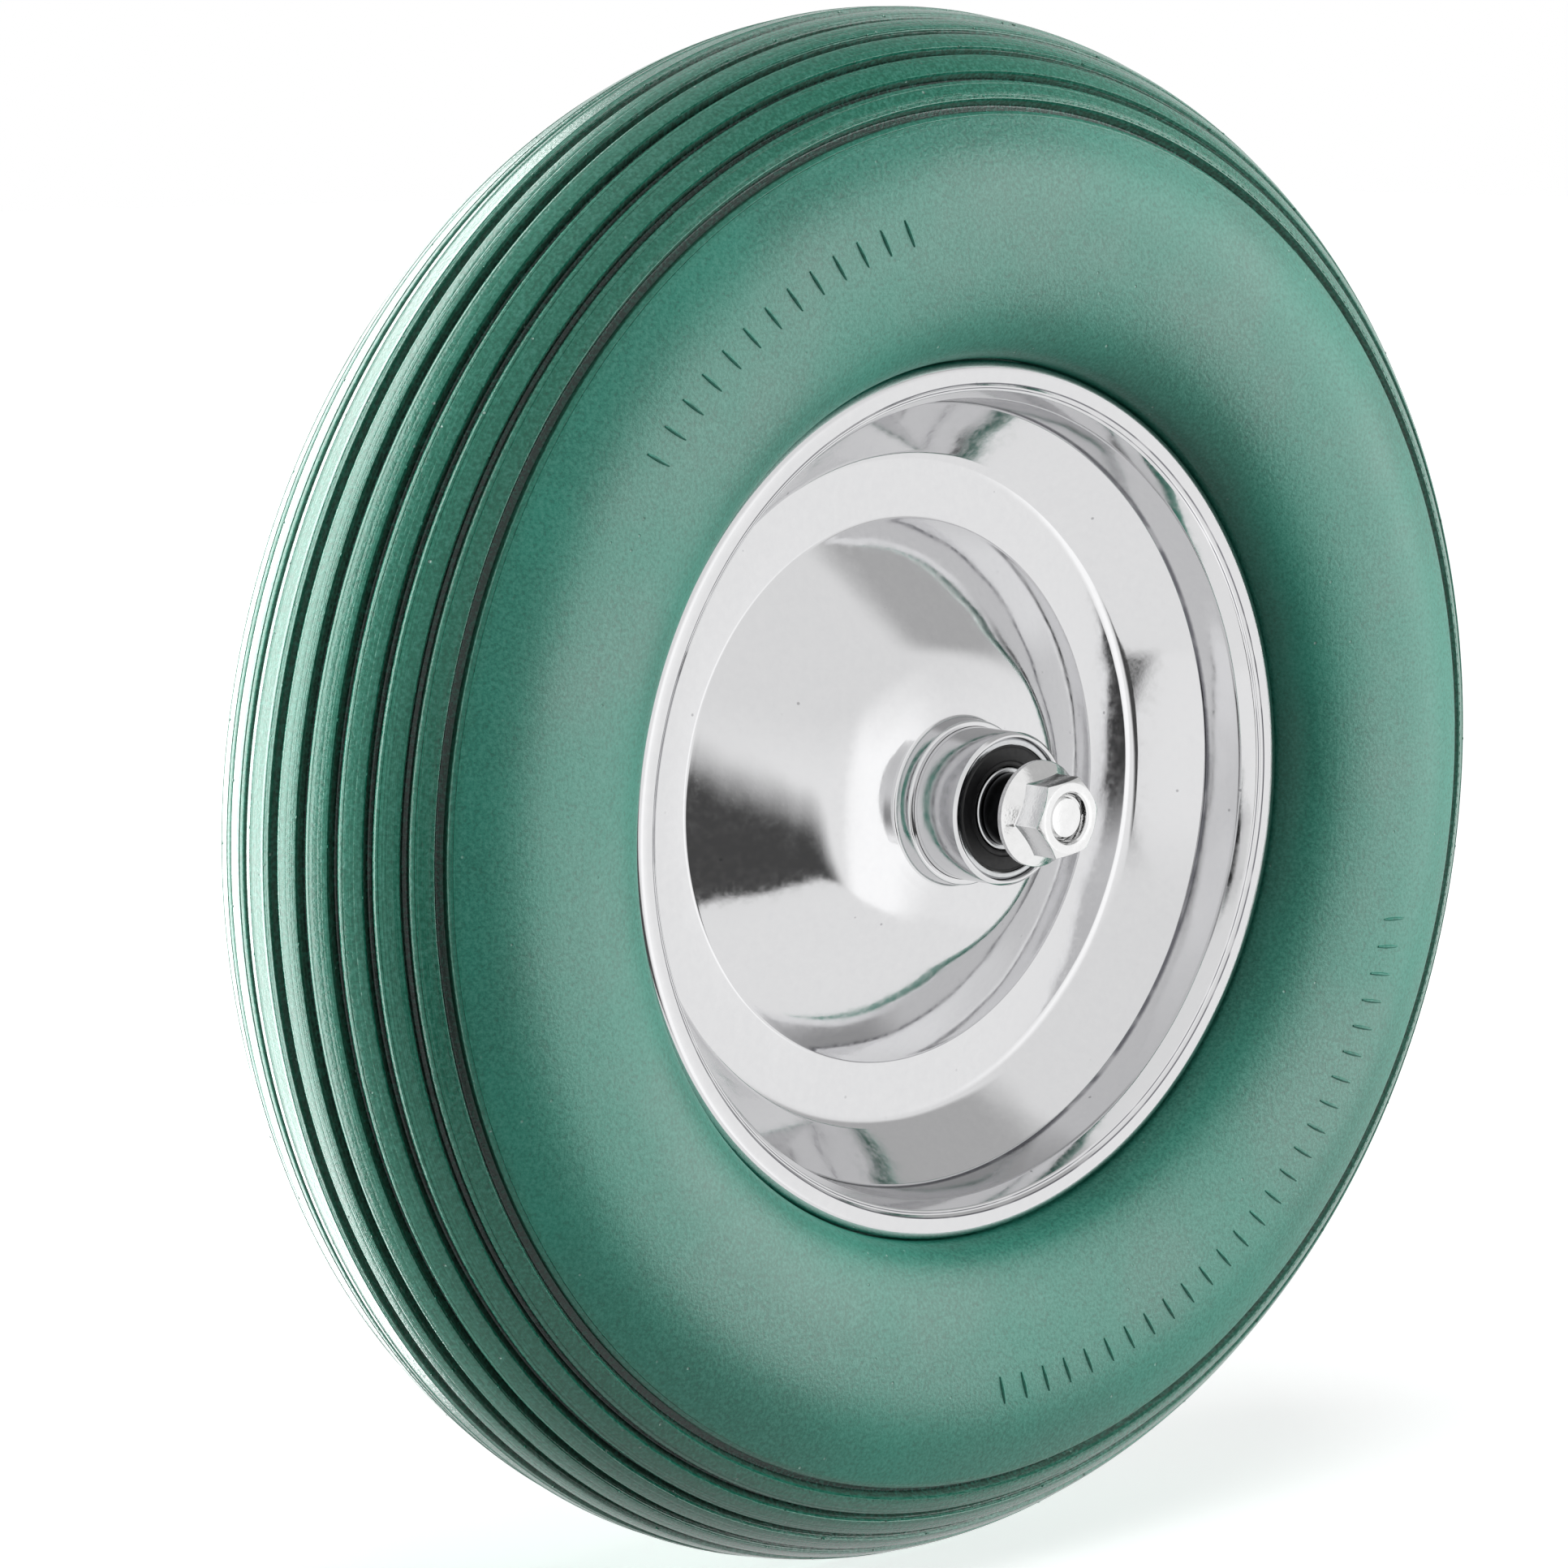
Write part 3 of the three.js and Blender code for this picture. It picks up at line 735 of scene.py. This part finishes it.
# %% The round row tree
round_row, given = new_tree("round_row", {
    "Count": ("Int", 8),
    "First angle": ("Float", 0.0),
    "Step angle": ("Float", 0.1),
    "Scatter": ("Float", 0.0),
    "Least stretch": ("Float", 1.0),
    "Most stretch": ("Float", 1.0),
    "Seed": ("Int", 0),
    "Finish": ("Material", None),
})
number = place(round_row, "GeometryNodeInputIndex").outputs[0]
least_scatter = calc(round_row, "MULTIPLY", given["Scatter"], -1.0)
scatter = place(
    round_row,
    "FunctionNodeRandomValue",
    {2: least_scatter, 3: given["Scatter"], "Seed": given["Seed"]},
    data_type="FLOAT",
).outputs[1]
stretch_seed = calc(round_row, "ADD", given["Seed"], 1.0)
stretch = place(
    round_row,
    "FunctionNodeRandomValue",
    {2: given["Least stretch"], 3: given["Most stretch"], "Seed": stretch_seed},
    data_type="FLOAT",
).outputs[1]
turn = calc(round_row, "MULTIPLY", number, given["Step angle"])
turn = calc(round_row, "ADD", given["First angle"], turn)
turn = calc(round_row, "MULTIPLY", calc(round_row, "ADD", turn, scatter), -1.0)
facing_out = place(round_row, "ShaderNodeCombineXYZ", {"Y": turn}).outputs[0]
facing_out = place(round_row, "FunctionNodeEulerToRotation", {0: facing_out}).outputs[0]
sizes = place(round_row, "ShaderNodeCombineXYZ", {"X": 1.0, "Y": 1.0, "Z": stretch}).outputs[0]
spots = place(round_row, "GeometryNodePoints", {"Count": given["Count"]}).outputs[0]
copies = place(
    round_row,
    "GeometryNodeInstanceOnPoints",
    {"Points": spots, "Instance": given["Mesh"], "Rotation": facing_out, "Scale": sizes},
).outputs[0]
end_tree(round_row, copies, given["Finish"])


def net_to_mesh(name, net):
    """Turns a bmesh into a mesh and frees it."""
    mesh = bpy.data.meshes.new(name)
    net.to_mesh(mesh)
    net.free()
    return mesh


# %% [markdown]
# ### Mould marks and crumbs
#
# A line of tiny dashes, left by the mould's inserts, runs along the edge of the outermost rib.
# Small crumbs of flash cling to the edges of the grooves. Both are a few faces each.

# %% Dashes along the outermost rib
DASH_SPACING = 2.7
DASH_SIZE = (0.30 * MM, 0.32 * MM, 1.5 * MM)
DASH_FROM_GROOVE = 0.45
DASH_SINK = 0.02
TOP_TAPER = 0.6
dash_offset = SHOULDER_GROOVE_WIDTH / 2 + DASH_FROM_GROOVE
shoulder_edge = GROOVE_ANGLES[-1] - math.degrees(dash_offset / CROWN_RADIUS)


def lump(net, where, size, tilt):
    """Adds a small box with tapered top at where, leaning by tilt from +X towards the axle's end."""
    for vert in bmesh.ops.create_cube(net, size=1.0)["verts"]:
        taper = TOP_TAPER if vert.co.x > 0 else 1.0
        reach_out = vert.co.x * size[0]
        sideways = vert.co.y * size[1] * taper
        vert.co = Vector((
            where[0] + reach_out * math.cos(tilt) - sideways * math.sin(tilt),
            where[1] + reach_out * math.sin(tilt) + sideways * math.cos(tilt),
            where[2] + vert.co.z * size[2] * taper,
        ))


for side, sign in (("nut", -1), ("head", 1)):
    net = bmesh.new()
    dash_reach, dash_across = crown_point(shoulder_edge, DASH_SINK)
    where = (dash_reach * MM, sign * dash_across * MM, 0)
    lump(net, where, DASH_SIZE, sign * math.radians(shoulder_edge))
    count = round(2 * math.pi * dash_reach / DASH_SPACING)
    values = {
        "Count": count, "Step angle": 2 * math.pi / count, "Scatter": 0.002,
        "Least stretch": 0.5, "Most stretch": 1.3, "Seed": 11, "Finish": foam_skin,
    }
    dashes = run_tree(round_row, f"rib_dashes_{side}_side", net_to_mesh("dash", net), values)
    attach(dashes, "wheel")
    foam_pieces.objects.link(dashes)

# %% [markdown]
# The crumbs of one stretch of tread are drawn together, each by its degrees across the tread's arc
# and its angle along the rim, and the row repeats that stretch.

# %% Crumbs of flash on the ribs
CRUMB_PLACES = [
    (-52.2, 0.0), (-41.0, 0.11), (-29.9, 0.05), (-18.6, 0.17), (-7.4, 0.02), (-5.6, 0.08),
    (5.5, 0.19), (18.6, 0.14), (29.9, 0.07), (41.0, 0.21), (52.2, 0.13),
]
CRUMB_SIZE = (0.45 * MM, 0.4 * MM, 0.9 * MM)
CRUMB_SINK = 0.12
DEGREES_INWARD = 1.7
CRUMB_STRETCHES = 26

net = bmesh.new()
for degrees, along in CRUMB_PLACES:
    crumb_reach, crumb_across = crown_point(abs(degrees) - DEGREES_INWARD, CRUMB_SINK)
    sign = math.copysign(1, degrees)
    turn_to = Vector((crumb_reach * math.cos(along), crumb_reach * math.sin(along)))
    where = (turn_to.x * MM, sign * crumb_across * MM, turn_to.y * MM)
    lump(net, where, CRUMB_SIZE, sign * math.radians(abs(degrees)))
values = {
    "Count": CRUMB_STRETCHES, "Step angle": 2 * math.pi / CRUMB_STRETCHES, "Scatter": 0.1,
    "Least stretch": 1.0, "Most stretch": 1.0, "Seed": 5, "Finish": foam_skin,
}
crumbs = run_tree(round_row, "flash_crumbs", net_to_mesh("crumb", net), values)
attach(crumbs, "wheel")
foam_pieces.objects.link(crumbs)

# %% [markdown]
# ### Plain bars on the sidewall
#
# The nut side carries two runs of moulded marks in low relief. Here they are plain slanted bars
# that say nothing, each a thin rounded ridge that follows the wall. A run has a name, its first and
# last angle in degrees, and a number of bars.

# %% Sidewall bars
BAR_INNER = 142.2
BAR_OUTER = 149.2
BAR_SLANT = math.radians(14)
BAR_WIDTH = 1.1
BAR_PROUD = 0.55
BAR_SINK = 0.25
STEPS_ALONG = 8
STEPS_ACROSS = 6
BAR_RUNS = (("upper", 104.0, 141.0, 13), ("lower", -91.0, -17.0, 26))


def wall_height(radius):
    """How far out from the mid-plane the sidewall stands at a radius."""
    for (r1, y1), (r2, y2) in zip(sidewall, sidewall[1:]):
        if r2 <= radius <= r1:
            return y1 + (y2 - y1) * (r1 - radius) / (r1 - r2)


def moulded_bar():
    """A ridge along the radius near the +X axis on the nut side, rounded across and at its ends."""
    net = bmesh.new()
    rows = []
    for i in range(STEPS_ALONG + 1):
        along = i / STEPS_ALONG
        radius = BAR_INNER + (BAR_OUTER - BAR_INNER) * along
        swell = math.sin(math.pi * min(max(along, 0.06), 0.94)) ** 0.35
        lean = (radius - (BAR_INNER + BAR_OUTER) / 2) * math.tan(BAR_SLANT)
        floor_y = wall_height(radius) - BAR_SINK
        row = []
        for j in range(STEPS_ACROSS + 1):
            bow = math.pi * j / STEPS_ACROSS
            z = lean - BAR_WIDTH / 2 * swell * math.cos(bow)
            y = floor_y + (BAR_SINK + BAR_PROUD * swell) * math.sin(bow)
            row.append(net.verts.new((radius * MM, -y * MM, z * MM)))
        rows.append(row)
    for low, high in zip(rows, rows[1:]):
        for j in range(STEPS_ACROSS):
            net.faces.new((low[j], low[j + 1], high[j + 1], high[j]))
        net.faces.new((low[-1], low[0], high[0], high[-1]))
    net.faces.new(list(reversed(rows[0])))
    net.faces.new(rows[-1])
    return net_to_mesh("bar", net)


for run_name, first, last, count in BAR_RUNS:
    step = math.radians(last - first) / (count - 1)
    values = {"Count": count, "First angle": math.radians(first), "Step angle": step, "Finish": foam_skin}
    run = run_tree(round_row, f"sidewall_bars_{run_name}", moulded_bar(), values)
    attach(run, "wheel")
    foam_pieces.objects.link(run)

# %% [markdown]
# ## The rim halves and the hub tube
#
# Each half is pressed from 1.8 mm sheet: a neck round the hub, a slightly bulged dome, a flat web,
# the wall of the well, and a flange whose outer edge rolls back into the tyre. The corners are
# bent, so each has its own fillet, and the fillets draw the bright and dark lines in the chrome.

# %% Rim halves
SHEET = 1.8
NECK_FACE = 30.0
DOME_TOP = (24, 24.9)
DOME_FOOT = (67.9, 2.75)
WEB_FACE = 1.95
RIM_FACETS = 256

neck = rounded([
    (19.12, NECK_FACE, 0),
    (20.55, NECK_FACE, 0.85),
    (20.95, 25.3, 0.9),
    (*DOME_TOP, 0),
])
dome = smooth_line([
    DOME_TOP,
    (30, 23.6),
    (38, 21.1),
    (46, 16.8),
    (54, 11.95),
    (62, 6.8),
    DOME_FOOT,
], CURVE_STEPS)
well = rounded([
    (*DOME_FOOT, 0),
    (69.0, WEB_FACE, 1.6),
    (84, WEB_FACE, 5.5),
    (98.4, 15.2, 2.2),
    (99.7, 26.4, 3.2),
    (101.9, 30.2, 0.7),
    (103.0, 30.6, 0.3),
    (103.7, FLANGE_FACE - 0.03, 0.5),
    (FLANGE_RADIUS, FLANGE_FACE, 3.0),
    (FLANGE_RADIUS, FLANGE_FACE - 6.3, 0.5),
    (FLANGE_RADIUS - 1.7, FLANGE_FACE - 6.2, 0.4),
    (FLANGE_RADIUS - 1.8, FLANGE_FACE - 3.4, 0.9),
    (105.0, FLANGE_FACE - SHEET, 0),
])
show_face = neck[:-1] + dome[:-1] + well
back_face = [
    (101.9, 26.4),
    (100.2, 14.3),
    (85.2, 0.15),
    (68.1, 0.15),
    (61, 5.4),
    (53, 10.8),
    (45, 15.4),
    (37.1, 19.1),
    (19.12, 22.6),
]
for side, sign in (("nut", -1), ("head", 1)):
    outline = [(radius, sign * axle) for radius, axle in show_face + back_face]
    rim_half = turned(f"rim_half_{side}_fine", outline, RIM_FACETS, bright_plating, crease=40)
    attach(rim_half, "wheel")
    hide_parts(f"rim_half_{side}_side")

# %% Hub tube
hub_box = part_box("hub_tube")
HUB_RADIUS = hub_box[1].x / MM
HUB_END = hub_box[1].y / MM
BEARING_SEAT_RADIUS = 17.6
TUBE_BORE_RADIUS = 16.2
SEAT_SHOULDER = 32.2
HUB_FACETS = 144

hub_half = rounded([
    (HUB_RADIUS, 0, 0),
    (HUB_RADIUS, HUB_END - 0.7, 0.25),
    (HUB_RADIUS - 0.7, HUB_END, 0.2),
    (BEARING_SEAT_RADIUS + 0.2, HUB_END, 0.1),
    (BEARING_SEAT_RADIUS, HUB_END - 0.25, 0.1),
    (BEARING_SEAT_RADIUS, SEAT_SHOULDER, 0.1),
    (TUBE_BORE_RADIUS, SEAT_SHOULDER, 0),
], steps=3)
hub = turned("hub_tube_fine", both_sides(hub_half[1:]), HUB_FACETS, bright_plating, crease=30)
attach(hub, "wheel")
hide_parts("hub_tube")

# %% [markdown]
# ## Sealed bearings
#
# Each bearing has an outer ring that turns with the hub, an inner ring clamped to the axle, a cage
# of eight balls between them, and a rubber seal on each face. Only the rings' faces and the outer
# seal show. The seal is dished, with a lip that runs on the inner ring.

# %% Bearing rings and outer seals
BEARING_CENTRE = 38.0
BEARING_HALF_WIDTH = 5.5
SMALL_PIECE_FACETS = 96

outer_ring = both_sides(rounded([
    (15.6, 1.0, 0), (14.7, 2.6, 0), (14.7, 4.2, 0), (15.85, 4.2, 0), (15.85, 5.35, 0.1),
    (16.1, BEARING_HALF_WIDTH, 0.1), (17.0, BEARING_HALF_WIDTH, 0.3), (17.5, 5.0, 0.3), (17.5, 1.0, 0),
], steps=3))
inner_ring = both_sides(rounded([
    (9.4, 1.0, 0), (10.2, 2.6, 0), (10.2, 5.2, 0.15), (9.9, BEARING_HALF_WIDTH, 0.15),
    (7.9, BEARING_HALF_WIDTH, 0.15), (7.6, 5.2, 0.15), (7.6, 1.0, 0),
], steps=3))
seal = rounded([
    (10.45, 4.3, 0), (10.45, 4.75, 0.1), (10.9, 5.0, 0.1), (11.6, 4.85, 0.1), (12.0, 5.2, 0.2),
    (15.0, 5.3, 0.2), (15.35, 5.05, 0.1), (15.75, 5.05, 0.1), (15.75, 4.3, 0),
], steps=3)
for side, sign in (("nut", -1), ("head", 1)):
    for label, outline, body, finish, kept_slot in (
        ("outer_ring", outer_ring, "wheel", ground_steel, "bearing_steel"),
        ("inner_ring", inner_ring, "axle", ground_steel, "bearing_steel"),
        ("outer_seal", seal, "wheel", seal_rubber, "rubber_seal"),
    ):
        placed = [(radius, sign * (BEARING_CENTRE + axle)) for radius, axle in outline]
        ring_piece = turned(f"{side}_bearing_{label}", placed, SMALL_PIECE_FACETS, finish)
        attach(ring_piece, body)
        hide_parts(f"bearing_{side}_side_{label}")

# %% Balls
BALL_RADIUS = 5.953 / 2
BALL_PITCH_RADIUS = 12.5
BALL_COUNT = 8

for side, sign in (("nut", -1), ("head", 1)):
    net = bmesh.new()
    bmesh.ops.create_icosphere(net, subdivisions=3, radius=BALL_RADIUS * MM)
    ball_place = (BALL_PITCH_RADIUS * MM, sign * BEARING_CENTRE * MM, 0)
    bmesh.ops.translate(net, vec=ball_place, verts=net.verts)
    values = {"Count": BALL_COUNT, "Step angle": 2 * math.pi / BALL_COUNT, "Finish": ground_steel}
    balls = run_tree(round_row, f"{side}_bearing_balls", net_to_mesh("ball", net), values)
    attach(balls, f"cage_{side}_side")
    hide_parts(*[f"bearing_{side}_side_ball_{n + 1}" for n in range(BALL_COUNT)])

# %% [markdown]
# ## Spacers, bolt and nut
#
# A blackened spacer stands between each bearing and the nut or the bolt's head. Both of those are a
# hexagon on a conical flange, with the outer corners turned off at 30 degrees, so each flat ends in
# a curve. The mesh is a stack of rings whose radius and height depend on the angle, which gives
# that curve exactly.

# %% Spacers
CLAMP_FACE = 53.1
spacer_section = rounded([
    (6.25, 33.5, 0), (7.3, 33.5, 0.2), (7.5, 33.9, 0.1), (7.5, 43.9, 0), (8.9, 43.9, 0.2),
    (9.1, 44.2, 0.2), (9.1, 52.4, 0.2), (8.8, CLAMP_FACE - 0.3, 0.2), (6.25, CLAMP_FACE - 0.3, 0),
], steps=3)
for side, sign in (("nut", -1), ("head", 1)):
    outline = [(radius, sign * axle) for radius, axle in spacer_section]
    spacer = turned(f"{side}_side_spacer", outline, SMALL_PIECE_FACETS, black_steel)
    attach(spacer, "axle")
    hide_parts(f"spacer_{side}_side")

# %% Flanged hexagon
HEX_HALF_FLAT = 9.0
HEX_FACE_RADIUS = 8.6
HEX_HEIGHT = 12.0
FLANGE_EDGE_RADIUS = 13.1
FLANGE_EDGE_HEIGHT = 1.8
FLANGE_SLOPE = 2.8 / 5.1
CHAMFER = math.radians(30)
HEX_STEPS = 144


def hex_radius(angle):
    """How far the hexagon reaches from the axle in a direction, with corners at whole sixths."""
    sixth = math.pi / 3
    return HEX_HALF_FLAT / math.cos((angle % sixth) - sixth / 2)


def hexagon_rows():
    """Rings from the flange's underside to the hexagon's face, as (radius, height) for an angle."""
    def cone_height(radius):
        return FLANGE_EDGE_HEIGHT + (FLANGE_EDGE_RADIUS - radius) * FLANGE_SLOPE

    def chamfer_height(radius):
        return HEX_HEIGHT - (radius - HEX_FACE_RADIUS) * math.tan(CHAMFER)

    return [
        lambda a: (FLANGE_EDGE_RADIUS - 0.3, 0.0),
        lambda a: (FLANGE_EDGE_RADIUS, 0.3),
        lambda a: (FLANGE_EDGE_RADIUS, FLANGE_EDGE_HEIGHT - 0.3),
        lambda a: (FLANGE_EDGE_RADIUS - 0.25, FLANGE_EDGE_HEIGHT + 0.05),
        lambda a: (hex_radius(a) + 0.3, cone_height(hex_radius(a) + 0.3)),
        lambda a: (hex_radius(a) + 0.05, cone_height(hex_radius(a)) + 0.12),
        lambda a: (hex_radius(a), cone_height(hex_radius(a)) + 0.4),
        lambda a: (hex_radius(a), chamfer_height(hex_radius(a)) - 0.12),
        lambda a: (hex_radius(a) - 0.07, chamfer_height(hex_radius(a) - 0.07)),
        lambda a: (HEX_FACE_RADIUS + 0.06, chamfer_height(HEX_FACE_RADIUS + 0.06)),
        lambda a: (HEX_FACE_RADIUS - 0.1, HEX_HEIGHT),
    ]


def ringed(name, rows, sign, turn, finish, closed):
    """Joins rings of (radius, height) into a mesh. closed joins the last ring to the first one."""
    net = bmesh.new()
    rings = []
    for row in rows:
        ring = []
        for i in range(HEX_STEPS):
            angle = 2 * math.pi * i / HEX_STEPS
            radius, height = row(angle)
            place_at = angle + turn
            x, z = radius * math.cos(place_at), radius * math.sin(place_at)
            ring.append(net.verts.new((x * MM, sign * (CLAMP_FACE + height) * MM, z * MM)))
        rings.append(ring)
    pairs = list(zip(rings, rings[1:]))
    if closed:
        pairs.append((rings[-1], rings[0]))
    for low, high in pairs:
        for i in range(HEX_STEPS):
            j = (i + 1) % HEX_STEPS
            net.faces.new((low[i], low[j], high[j], high[i]))
    if not closed:
        net.faces.new(rings[0])
        net.faces.new(rings[-1])
    mesh = net_to_mesh(name, net)
    mesh.materials.append(finish)
    return finish_mesh(name, mesh, 28)


def ring_row(radius, height):
    """A plain round ring."""
    return lambda a: (radius, height)


# %% Nut
NUT_BORE = 6.15
NUT_TURN = math.radians(9)
nut_rows = hexagon_rows() + [
    ring_row(6.75, HEX_HEIGHT),
    ring_row(6.55, HEX_HEIGHT - 0.08),
    ring_row(NUT_BORE, HEX_HEIGHT - 0.6),
    ring_row(NUT_BORE, 0.3),
    ring_row(NUT_BORE + 0.3, 0.0),
]
nut = ringed("flange_nut_fine", nut_rows, -1, NUT_TURN, zinc_plate, closed=True)
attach(nut, "axle")
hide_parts("flange_nut")

# %% Bolt
SHANK_RADIUS = 5.9
THREAD_CORE = 5.2
TIP = -(2 * CLAMP_FACE + HEX_HEIGHT - 1.2)
THREAD_END = TIP + 30

bolt_rows = [
    ring_row(0.8, TIP + 0.02),
    ring_row(4.5, TIP),
    ring_row(4.75, TIP + 0.08),
    ring_row(THREAD_CORE, TIP + 0.7),
    ring_row(THREAD_CORE, THREAD_END),
    ring_row(SHANK_RADIUS, THREAD_END + 1.0),
    ring_row(SHANK_RADIUS, -0.3),
    ring_row(SHANK_RADIUS + 0.3, 0.0),
] + hexagon_rows() + [
    ring_row(7.4, HEX_HEIGHT),
    ring_row(7.1, HEX_HEIGHT - 0.1),
    ring_row(6.7, HEX_HEIGHT - 0.4),
    ring_row(0.8, HEX_HEIGHT - 0.4),
]
bolt = ringed("axle_bolt_fine", bolt_rows, 1, 0.0, zinc_plate, closed=False)
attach(bolt, "axle")
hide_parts("axle_bolt")

# %% [markdown]
# The thread is a ridge along a helix. The Spiral node draws the helix, and Curve to Mesh runs a
# small blunt tooth along it.

# %% Thread
thread_tree, given = new_tree("thread", {
    "Radius": ("Float", 0.005),
    "Turns": ("Float", 10.0),
    "Length": ("Float", 0.02),
    "Start": ("Float", 0.0),
    "Finish": ("Material", None),
})
helix = place(
    thread_tree,
    "GeometryNodeCurveSpiral",
    {"Resolution": 40, "Rotations": given["Turns"], "Start Radius": given["Radius"],
     "End Radius": given["Radius"], "Height": given["Length"]},
).outputs[0]
tooth = place(thread_tree, "GeometryNodeMeshToCurve", {0: given["Mesh"]}).outputs[0]
ridge = place(
    thread_tree,
    "GeometryNodeCurveToMesh",
    {"Curve": helix, "Profile Curve": tooth, "Fill Caps": True},
).outputs[0]
shift = place(thread_tree, "ShaderNodeCombineXYZ", {"Y": given["Start"]}).outputs[0]
along_axle = place(
    thread_tree,
    "GeometryNodeTransform",
    {"Geometry": ridge, "Rotation": (-math.pi / 2, 0, 0), "Translation": shift},
).outputs[0]
end_tree(thread_tree, along_axle, given["Finish"])

PITCH = 1.75
THREAD_LENGTH = 26.0
TOOTH = [(-0.25, -0.8), (0.68, -0.12), (0.68, 0.12), (-0.25, 0.8)]
tooth_mesh = bpy.data.meshes.new("tooth")
tooth_points = [(outward * MM, along * MM, 0) for outward, along in TOOTH]
tooth_mesh.from_pydata(tooth_points, [(0, 1), (1, 2), (2, 3), (3, 0)], [])
values = {
    "Radius": THREAD_CORE * MM, "Turns": THREAD_LENGTH / PITCH, "Length": THREAD_LENGTH * MM,
    "Start": (CLAMP_FACE + TIP + 1.0) * MM, "Finish": zinc_plate,
}
thread = run_tree(thread_tree, "bolt_thread", tooth_mesh, values)
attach(thread, "axle")

# %% [markdown]
# ## CAD pieces that stay
#
# The distance tube, the cages and the inner seals are hidden inside the hub and have the right
# shape already. They keep their CAD mesh and get a proper finish.

# %% Finishes for the kept CAD pieces
kept = {
    "distance_tube": black_steel,
    "bearing_nut_side_cage": cage_sheet,
    "bearing_head_side_cage": cage_sheet,
    "bearing_nut_side_inner_seal": seal_rubber,
    "bearing_head_side_inner_seal": seal_rubber,
}
for node_name, finish in kept.items():
    for material_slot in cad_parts[node_name].material_slots:
        material_slot.material = finish
print("kept CAD pieces:", len(kept))

bpy.context.view_layer.update()
